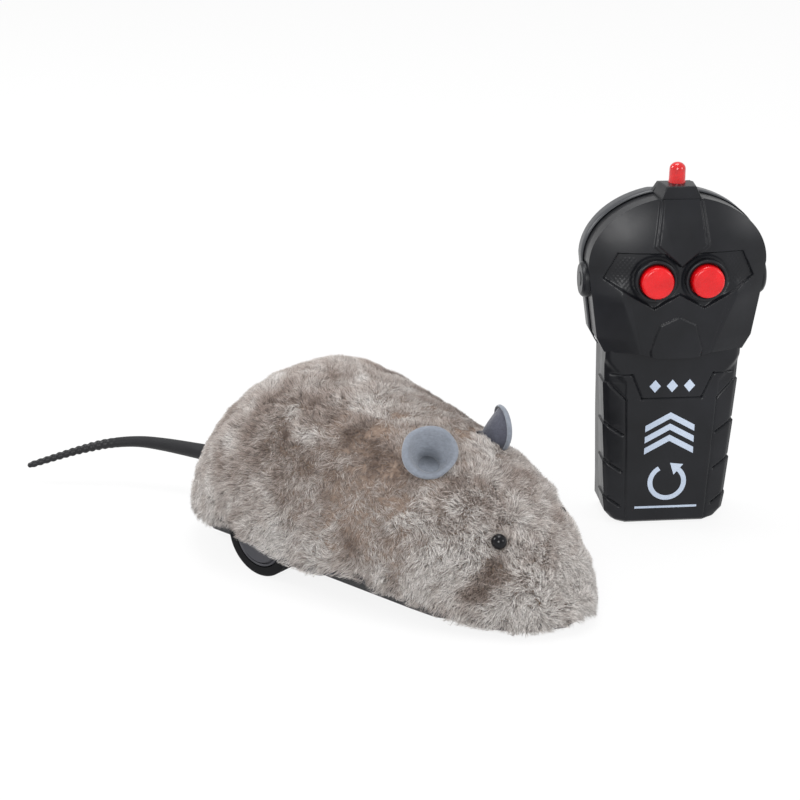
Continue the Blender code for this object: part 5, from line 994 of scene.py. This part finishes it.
# Hand control: outlines, in millimetres from its own origin
HEAD_HALF, HEAD_BASE, HEAD_HEIGHT = 26.3, 53.8, 47.2
HEAD_LOW, HEAD_TOP = HEAD_BASE + 0.035 * HEAD_HEIGHT, HEAD_BASE + HEAD_HEIGHT
HEAD_EDGE_Y, HEAD_DOME, SEAM_Y = -6.5, 5.3, 1.45
REMOTE_SKIN = ("remote_plastic", "remote", "remote_plastic")
HEAD_MIDDLE = HEAD_BASE + HEAD_HEIGHT * 0.49
HANDLE_TOP = 60.0
HANDLE_FRONT = -8.5
BUTTON_X, BUTTON_Z = 7.4, 78.1
SIDE_TABLE = ((0.035, 0.79), (0.06, 0.815), (0.125, 0.88), (0.47, 0.972), (0.6, 1.0))


def head_half(z):
    """Half the head's width at a height."""
    share = (z - HEAD_BASE) / HEAD_HEIGHT
    low = np.interp(share, [row[0] for row in SIDE_TABLE], [row[1] for row in SIDE_TABLE])
    rise = np.clip((share - 0.6) / 0.4, 0, 1) * 0.966
    return HEAD_HALF * np.where(share > 0.6, np.sqrt(1 - rise**2), low)


def polar_share(x, z):
    """How far a point of the head lies from its middle to its edge, from 0 to 1."""
    heights = np.linspace(HEAD_LOW, HEAD_TOP, 300)
    edge_x = np.concatenate([np.linspace(0, head_half(heights[0]), 60)[:-1], head_half(heights),
                             np.linspace(head_half(heights[-1]), 0, 30)[1:]])
    edge_z = np.concatenate([np.full(59, heights[0]), heights, np.full(29, heights[-1])])
    angle = np.arctan2(edge_z - HEAD_MIDDLE, edge_x)
    far = np.hypot(edge_x, edge_z - HEAD_MIDDLE)
    order = np.argsort(angle)
    reach = np.interp(np.arctan2(z - HEAD_MIDDLE, np.abs(x)), angle[order], far[order])
    return np.clip(np.hypot(x, z - HEAD_MIDDLE) / reach, 0, 1)


def to_line(x, z, start, end):
    """Distance from points to a line between two ends."""
    start, end = np.array(start, float), np.array(end, float)
    way = end - start
    t = np.clip(((x - start[0]) * way[0] + (z - start[1]) * way[1]) / (way @ way), 0, 1)
    return np.hypot(x - start[0] - t * way[0], z - start[1] - t * way[1])


def inside(x, z, outline):
    """Signed distance to a closed outline, above zero inside it."""
    distance = np.full(x.shape, 1e9)
    odd = np.zeros(x.shape, bool)
    for a, b in zip(outline, outline[1:] + outline[:1]):
        distance = np.minimum(distance, to_line(x, z, a, b))
        crosses = (a[1] > z) != (b[1] > z)
        with np.errstate(divide="ignore", invalid="ignore"):
            at = (b[0] - a[0]) * (z - a[1]) / ((b[1] - a[1]) or 1e-9) + a[0]
        odd ^= crosses & (x < at)
    return np.where(odd, distance, -distance)


def both(outline):
    """A closed outline from its right half."""
    return list(outline) + [(-x, z) for x, z in reversed(outline) if x > 0]


def ridge(distance, width):
    return np.exp(-(distance / width)**2)


MASK = both([(0, 81.9), (5.3, 86.0), (18.3, 86.0), (22.2, 78.4), (7.4, 69.5), (0, 73.8)])
SPEAR = both([(0, 82.4), (7.0, 88.4), (5.4, 99.6), (5.4, 101.6)])
SPEAR_OUTER = both([(0, 80.9), (8.1, 88.0), (6.3, 100.4), (6.3, 101.6)])
CHIN = both([(0, 67.0), (5.3, 64.4), (7.7, 56.5), (6.8, 51.0)])
KNURL = [(12.6, 85.0), (17.6, 85.0), (21.4, 78.4), (12.6, 73.0)]
KNURL_PITCH = 1.25


def head_front(x, z):
    """Depth of the head's face: a dome above, flat cheeks below, and its raised and sunk parts."""
    edge = np.abs(x)
    share = polar_share(x, z)
    dome = HEAD_EDGE_Y - HEAD_DOME * (1 - share**2.4)
    crease = np.interp(z, [54, 73.5], [9.8, 17.0])
    front = np.interp(z, [53, 56, 74], [-9.9, -10.6, -11.7])
    side = np.clip((edge - crease) / np.maximum(head_half(z) - crease, 0.5), 0, 1)
    facet = front + (HEAD_EDGE_Y - 0.5 - front) * side**1.1
    low = smoothstep(81, 71, z)
    y = dome * (1 - low) + facet * low
    mask = smoothstep(-0.2, 0.2, inside(x, z, MASK))
    y = y + 0.9 * mask
    spear = inside(x, z, SPEAR)
    outer = inside(x, z, SPEAR_OUTER)
    y = y - 0.32 * smoothstep(-0.18, 0.18, outer) * (1 - mask) - 0.42 * smoothstep(-0.18, 0.18, spear)
    chin = inside(x, z, CHIN)
    y = y - 0.42 * smoothstep(-0.2, 0.2, chin) + 0.18 * ridge(np.abs(chin) - 0.1, 0.22)
    for sign in (1, -1):
        y = y + 0.12 * ridge(to_line(x, z, (sign * 14.8, 73.2), (sign * 9.8, 53.5)), 0.28)
    ends = smoothstep(0.1, 0.7, inside(edge, z, KNURL))
    first = np.abs((((x + z * 0.8) / KNURL_PITCH) % 1) - 0.5)
    second = np.abs((((x - z * 0.8) / KNURL_PITCH) % 1) - 0.5)
    y = y - 0.3 * ends * (np.minimum(first, second) - 0.12)
    ring = np.hypot(edge - BUTTON_X, z - BUTTON_Z)
    return y + 0.3 * smoothstep(7.6, 6.6, ring) * smoothstep(4, 5.4, ring) * mask


SHELL_THICKNESS, HOLE_RADIUS, SHARP_ANGLE = 1.2, 5.2, 42


def relief(name, x, z, front, back, holes=()):
    """A raised face over a grid that is as wide as the outline, with side walls back to the seam."""
    rows, columns = x.shape
    face = np.stack([x, front, z], -1)
    layers = [face.reshape(-1, 3)]
    faces = [grid_faces(rows, columns)]
    border = np.concatenate([np.arange(columns), np.arange(1, rows) * columns + columns - 1,
                             (rows - 1) * columns + np.arange(columns - 2, -1, -1),
                             np.arange(rows - 2, 0, -1) * columns])
    edge = face.reshape(-1, 3)[border]
    start = rows * columns
    previous = border
    count = len(border)
    for depth in (edge[:, 1] + 0.25, edge[:, 1] + 0.7, (edge[:, 1] + back) / 2, back):
        ring = edge.copy()
        ring[:, 1] = depth
        layers.append(ring)
        here = np.arange(start, start + count)
        following = np.roll(np.arange(count), -1)
        faces.append(np.stack([previous, here, here[following], previous[following]], -1))
        previous = here
        start += count
    faces = np.concatenate(faces)
    points = np.concatenate(layers)
    keep = np.ones(len(faces), bool)
    centres = points[faces].mean(1)
    for cx, cz, radius in holes:
        keep &= (np.hypot(centres[:, 0] - cx, centres[:, 2] - cz) > radius) | (centres[:, 1] > back - 1)
    thing = mesh_object(name, remote_points(points), faces[keep], *REMOTE_SKIN)
    face_outwards(thing)
    thicken(thing, SHELL_THICKNESS, -1)
    sharpen(thing, SHARP_ANGLE)
    return thing


def build_head():
    turn = math.pi / 2 * 0.82
    heights = HEAD_LOW + (HEAD_TOP - HEAD_LOW) * np.sin(np.linspace(0, 1, 180) * turn) / math.sin(turn)
    share = np.linspace(-1, 1, 190)
    z = np.repeat(heights[:, None], len(share), 1)
    x = head_half(z) * share[None, :]
    lip = np.interp(np.abs(x), [5.3, 10.8], [1.6, 0])
    z = z - lip * np.clip(1 - (z - HEAD_LOW) / 4.2, 0, 1)
    head = relief("remote_head_skin", x, z, head_front(x, z), SEAM_Y,
                  holes=[(BUTTON_X, BUTTON_Z, HOLE_RADIUS), (-BUTTON_X, BUTTON_Z, HOLE_RADIUS)])
    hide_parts("remote_front_shell", "remote_face_panel")


GRIPS = (32.2, 20.3, 8.8)
PANEL_LINES = (((12.3, 48.3), (9.0, 40.6), 0.5, 0.3), ((0, 40.6), (9.0, 40.6), 0.5, 0.3),
               ((12.3, 48.3), (18.4, 48.3), 0.42, 0.26), ((18.8, 45.4), (13.8, 40.4), 0.55, 0.3),
               ((13.8, 40.4), (12.2, 1.2), 0.35, 0.24))


def handle_half(z):
    half = np.interp(z, [0, 3.5, 10, 20, 30, 54, 60], [15.2, 18.3, 18.7, 19.1, 19.5, 20.3, 20.3])
    for low, high in ((3.5, 8.8), (8.8, 20.3), (20.3, 32.2), (32.2, 45.4)):
        here = (z > low) & (z <= high)
        half = half + np.where(here, 0.45 * (z - low) / (high - low), 0)
    return half


def handle_front(x, z):
    """Depth of the handle's face: a flat middle, sloping grips with slanted grooves, and panel lines."""
    edge = np.abs(x)
    inner = np.interp(z, [1, 40.4], [12.2, 13.8])
    slope = np.clip((edge - inner) / (handle_half(z) - inner), 0, 1)
    grip = smoothstep(47.5, 44.5, z - (edge - 13.8))
    y = HANDLE_FRONT + 2.1 * slope**1.25 * grip + 1.1 * slope**2 * (1 - grip)
    y = y + 0.7 * ridge(slope - 1.0, 0.12)
    inset = smoothstep(-0.15, 0.25, edge - inner) * grip
    y = y + 0.28 * inset
    for height in GRIPS:
        y = y + 0.75 * ridge(to_line(edge, z, (14.2, height - 3.0), (20.4, height + 0.9)), 0.34)
    for start, end, depth, width in PANEL_LINES:
        y = y + depth * ridge(to_line(edge, z, start, end), width)
    return y + 1.6 * smoothstep(1.6, 0.0, z)**2


def build_handle():
    heights = np.linspace(0.0, HANDLE_TOP, 190)
    share = np.linspace(-1, 1, 130)
    z = np.repeat(heights[:, None], len(share), 1)
    x = handle_half(z) * share[None, :]
    handle = relief("remote_handle_skin", x, z, handle_front(x, z), SEAM_Y)
    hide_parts("remote_front_shell")


build_head()
build_handle()


AERIAL_OUTLINE = ((-6.9, 97), (6.9, 97), (6.6, 101.4), (5.1, 104.5), (-5.1, 104.5), (-6.6, 101.4))
AERIAL_FRONT, AERIAL_SLOPE, AERIAL_NARROW, AERIAL_EDGE = -7.2, 1.4, 0.86, 0.5


def build_aerial():
    """The block on top that carries the light: its front leans back and narrows upwards."""
    points = [(x * (AERIAL_NARROW if z > 98 else 1), AERIAL_FRONT + (AERIAL_SLOPE if z > 103 else 0), z)
              for x, z in AERIAL_OUTLINE]
    points += [(x, SEAM_Y, z) for x, z in AERIAL_OUTLINE]
    count = len(AERIAL_OUTLINE)
    faces = [(i, (i + 1) % count, count + (i + 1) % count, count + i) for i in range(count)]
    faces += [range(count)[::-1], range(count, 2 * count)]
    thing = mesh_object("remote_aerial_skin", remote_points(points), faces, *REMOTE_SKIN)
    face_outwards(thing)
    edge = thing.modifiers.new("edge", "BEVEL")
    edge.width = AERIAL_EDGE * MM
    edge.segments = 3
    edge.limit_method = "ANGLE"
    thing.modifiers.new("normals", "WEIGHTED_NORMAL").keep_sharp = True
    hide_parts("remote_front_shell")


build_aerial()


# The rear shell's edge round the head, as one smooth curve over the CAD's short flats
BAND_ROWS = ((1.005, 1.6), (1.005, 4.7), (1.005, 7.6), (1.0, 8.05), (0.985, 8.5), (0.96, 9.2),
             (0.93, 9.95), (0.88, 10.55), (0.82, 11.05))
BAND_THICKNESS = 0.3


def build_band():
    heights = np.concatenate([np.linspace(HEAD_LOW, HEAD_TOP, 150)[:-1:2],
                              HEAD_BASE + HEAD_HEIGHT * (1 - 0.02 * np.linspace(1, 0, 24)**2)])
    heights = np.unique(np.round(heights, 5))
    half = head_half(heights)
    x = np.concatenate([half, -half[::-1][1:]])
    z = np.concatenate([heights, heights[::-1][1:]])
    rows = [np.stack([x * scale, np.full(len(x), y), HEAD_MIDDLE + (z - HEAD_MIDDLE) * scale], -1)
            for scale, y in BAND_ROWS]
    # The band takes the lighter plastic, a painted reflection of the light on this edge.
    band = mesh_object("remote_rear_band", remote_points(np.concatenate(rows)),
                       grid_faces(len(rows), len(x)), "remote_edge_painted_sheen", "remote", "remote_plastic")
    thicken(band, BAND_THICKNESS, -1)
    sharpen(band, 30)


build_band()


# Print on the handle: plain diamonds, chevrons, a turning arrow and a line
PRINT_LIFT, PRINT_THICKNESS = 0.05, 0.12


def stroke(points, width, closed=False):
    """Quads of a band along a line in the face's plane."""
    points = np.array(points, float)
    way = np.gradient(points, axis=0)
    if closed:
        way = np.roll(points, -1, 0) - np.roll(points, 1, 0)
    way = unit(way)
    side = np.stack([-way[:, 1], way[:, 0]], -1) * width / 2
    left, right = points + side, points - side
    count = len(points)
    steps = range(count if closed else count - 1)
    return [(left[i], right[i], right[(i + 1) % count], left[(i + 1) % count]) for i in steps]


def arc(x, z, radius, start, end, steps=40):
    """Points round a centre from one angle to another, in degrees."""
    turns = np.radians(np.linspace(start, end, steps))
    return np.stack([x + radius * np.cos(turns), z + radius * np.sin(turns)], -1)


def build_print():
    shapes = []
    for low in (27.0, 30.6, 34.2):
        for side in (1, -1):
            shapes.append(((0, low), (side * 7.5, low - 4.2), (side * 7.5, low - 2.2), (0, low + 2.0)))
    shapes += stroke(arc(0, 13.6, 5.2, 120, 410), 1.5)
    shapes.append(((4.75, 19.27), (0.7, 19.8), (1.93, 15.9)))
    shapes += stroke([(-9.6, 5.4), (9.6, 5.4)], 0.7)
    for at in (-5.2, 0, 5.2):
        shapes.append(((at, 46.6), (at - 1.7, 44.6), (at, 42.6), (at + 1.7, 44.6)))
    points, faces = [], []
    for shape in shapes:
        first = len(points)
        points += [(x, HANDLE_FRONT - PRINT_LIFT, z) for x, z in shape]
        faces.append(range(first, len(points)))
    thing = mesh_object("handle_print", remote_points(points), faces, "print", "remote",
                        "remote_plastic", smooth=False)
    shape = bmesh.new()
    shape.from_mesh(thing.data)
    bmesh.ops.remove_doubles(shape, verts=shape.verts, dist=1e-6)
    for face in shape.faces:
        face.normal_update()
        if face.normal.dot(REMOTE_Y) > 0:
            face.normal_flip()
    shape.to_mesh(thing.data)
    shape.free()
    thicken(thing, PRINT_THICKNESS, -1)


build_print()


FRONTWARDS, SIDE_CAP_Z = (0, -1, 0), 76.0


def build_controls():
    for word, side in (("left", -1), ("right", 1)):
        centre = (side * BUTTON_X, 0, BUTTON_Z)
        profile = [(0, 15.25), (2.0, 15.2), (3.3, 15.05), *rounded((3.75, 14), (1, 1)),
                   (4.75, 10.0), (5.8, 9.9), (5.8, 8.9), (0, 8.9)]
        button = lathe(f"{word}_button_skin", profile, centre, FRONTWARDS,
                       "red_button", f"button_{word}", "red_button", place=remote_points, angle=40)
        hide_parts(f"{word}_button")
        ring = [(5.05, 10.2), (5.05, 12.1), *rounded((5.65, 12.1), (0.6, 0.55), -90, 90),
                (6.25, 10.2), (5.05, 10.2)]
        collar = lathe(f"button_collar_{word}", ring, centre, FRONTWARDS, *REMOTE_SKIN,
                       place=remote_points, angle=50)
        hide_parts("remote_face_panel")
        cap = [(0, 27.7), (2.0, 27.7), (2.3, 27.5), (4.4, 27.5), (4.9, 27.2), (5.3, 26.7), (5.4, 26.0),
               (5.4, 24.8), (0, 24.8)]
        disc = lathe(f"side_cap_skin_{word}", cap, (0, 0, SIDE_CAP_Z), (side, 0, 0), *REMOTE_SKIN,
                     place=remote_points, angle=30)
        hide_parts(f"remote_side_cap_{word}")
    lamp = [*rounded((0, 108.4), (2.35, 2.0)), (2.4, 105.2), (2.5, 104.8), (2.5, 99.5), (0, 99.5)]
    light = lathe("indicator_skin", lamp, (0, 0, 0), (0, 0, 1), "red_lens", "remote", "red_lens",
                  place=remote_points, angle=50)
    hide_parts("indicator_light")


build_controls()


# Every other CAD node: its slot's material, eased edges and smooth curves
SLOT_LOOKS = {"felt": "felt", "plush": "backing"}
EASE, EASE_ANGLE = 0.18, 32
for part in frame["record"]["subparts"]:
    node = NODES[part["node"]]
    if node.hide_render:
        continue
    look = part["material_slot"]
    look = SLOT_LOOKS.get(look, look)
    node.data.materials.clear()
    node.data.materials.append(LOOKS[look])
    for polygon in node.data.polygons:
        polygon.material_index = 0
    sharpen(node, EASE_ANGLE)
    ease = node.modifiers.new("ease", "BEVEL")
    ease.width = EASE * MM
    ease.segments = 2
    ease.limit_method = "ANGLE"
    ease.angle_limit = math.radians(EASE_ANGLE)
    ease.harden_normals = False


# Floor, backdrop and light
def any_ray(tree, *kinds):
    """An output that is 1 for rays of the named kinds."""
    paths = tree.nodes.new("ShaderNodeLightPath")
    found = paths.outputs[kinds[0]]
    for kind in kinds[1:]:
        either = tree.nodes.new("ShaderNodeMath")
        either.operation = "MAXIMUM"
        tree.links.new(found, either.inputs[0])
        tree.links.new(paths.outputs[kind], either.inputs[1])
        found = either.outputs[0]
    return found


FLOOR_PAINT, FLOOR_GLOW, FLOOR_SIDE, FLOOR_DROP = 0.8, 0.86, 6, 0.0002
WORLD_LIGHT, WORLD_SEEN = 0.8, 1.0


def make_floor():
    material = bpy.data.materials.new("floor_white")
    material.use_nodes = True
    tree = material.node_tree
    tree.nodes.clear()
    out = tree.nodes.new("ShaderNodeOutputMaterial")
    glow = tree.nodes.new("ShaderNodeEmission")
    glow.inputs["Strength"].default_value = 1.0
    paint = tree.nodes.new("ShaderNodeBsdfDiffuse")
    paint.inputs["Color"].default_value = (FLOOR_PAINT, FLOOR_PAINT, FLOOR_PAINT, 1)
    share = tree.nodes.new("ShaderNodeMath")
    share.operation = "MULTIPLY"
    share.inputs[1].default_value = FLOOR_GLOW
    tree.links.new(any_ray(tree, "Is Camera Ray", "Is Glossy Ray", "Is Transmission Ray"), share.inputs[0])
    mix = tree.nodes.new("ShaderNodeMixShader")
    tree.links.new(share.outputs[0], mix.inputs[0])
    tree.links.new(paint.outputs[0], mix.inputs[1])
    tree.links.new(glow.outputs[0], mix.inputs[2])
    tree.links.new(mix.outputs[0], out.inputs[0])
    return material


floor_mesh = bpy.data.meshes.new("floor")
floor_mesh.from_pydata([(x * FLOOR_SIDE, y * FLOOR_SIDE, 0)
                        for x, y in ((-1, -1), (1, -1), (1, 1), (-1, 1))], [], [(0, 1, 2, 3)])
floor_mesh.materials.append(make_floor())
floor = add_object("floor", floor_mesh)
floor.location.z = -FLOOR_DROP

world = bpy.data.worlds.new("studio")
bpy.context.scene.world = world
world.use_nodes = True
tree = world.node_tree
background = tree.nodes["Background"]
level = tree.nodes.new("ShaderNodeMapRange")
level.inputs["To Min"].default_value = WORLD_LIGHT
level.inputs["To Max"].default_value = WORLD_SEEN
tree.links.new(any_ray(tree, "Is Camera Ray", "Is Transmission Ray"), level.inputs["Value"])
tree.links.new(level.outputs["Result"], background.inputs["Strength"])
background.inputs["Color"].default_value = (1, 1, 1, 1)


def area_light(name, place, target, size, watts):
    data = bpy.data.lights.new(name, "AREA")
    data.shape = "SQUARE"
    data.size = size
    data.energy = watts
    lamp = add_object(name, data)
    lamp.location = place
    lamp.rotation_euler = (Vector(target) - Vector(place)).to_track_quat("-Z", "Y").to_euler()


LIT = (0.03, 0.0, 0.04)
area_light("overhead", (-0.1, 0.15, 1.1), LIT, 0.5, 5)
area_light("left", (-0.9, -0.5, 0.7), LIT, 0.4, 5)
area_light("front", (0.6, -0.95, 0.5), LIT, 0.45, 7)
area_light("right", (1.05, 0.25, 0.45), LIT, 0.35, 2.5)
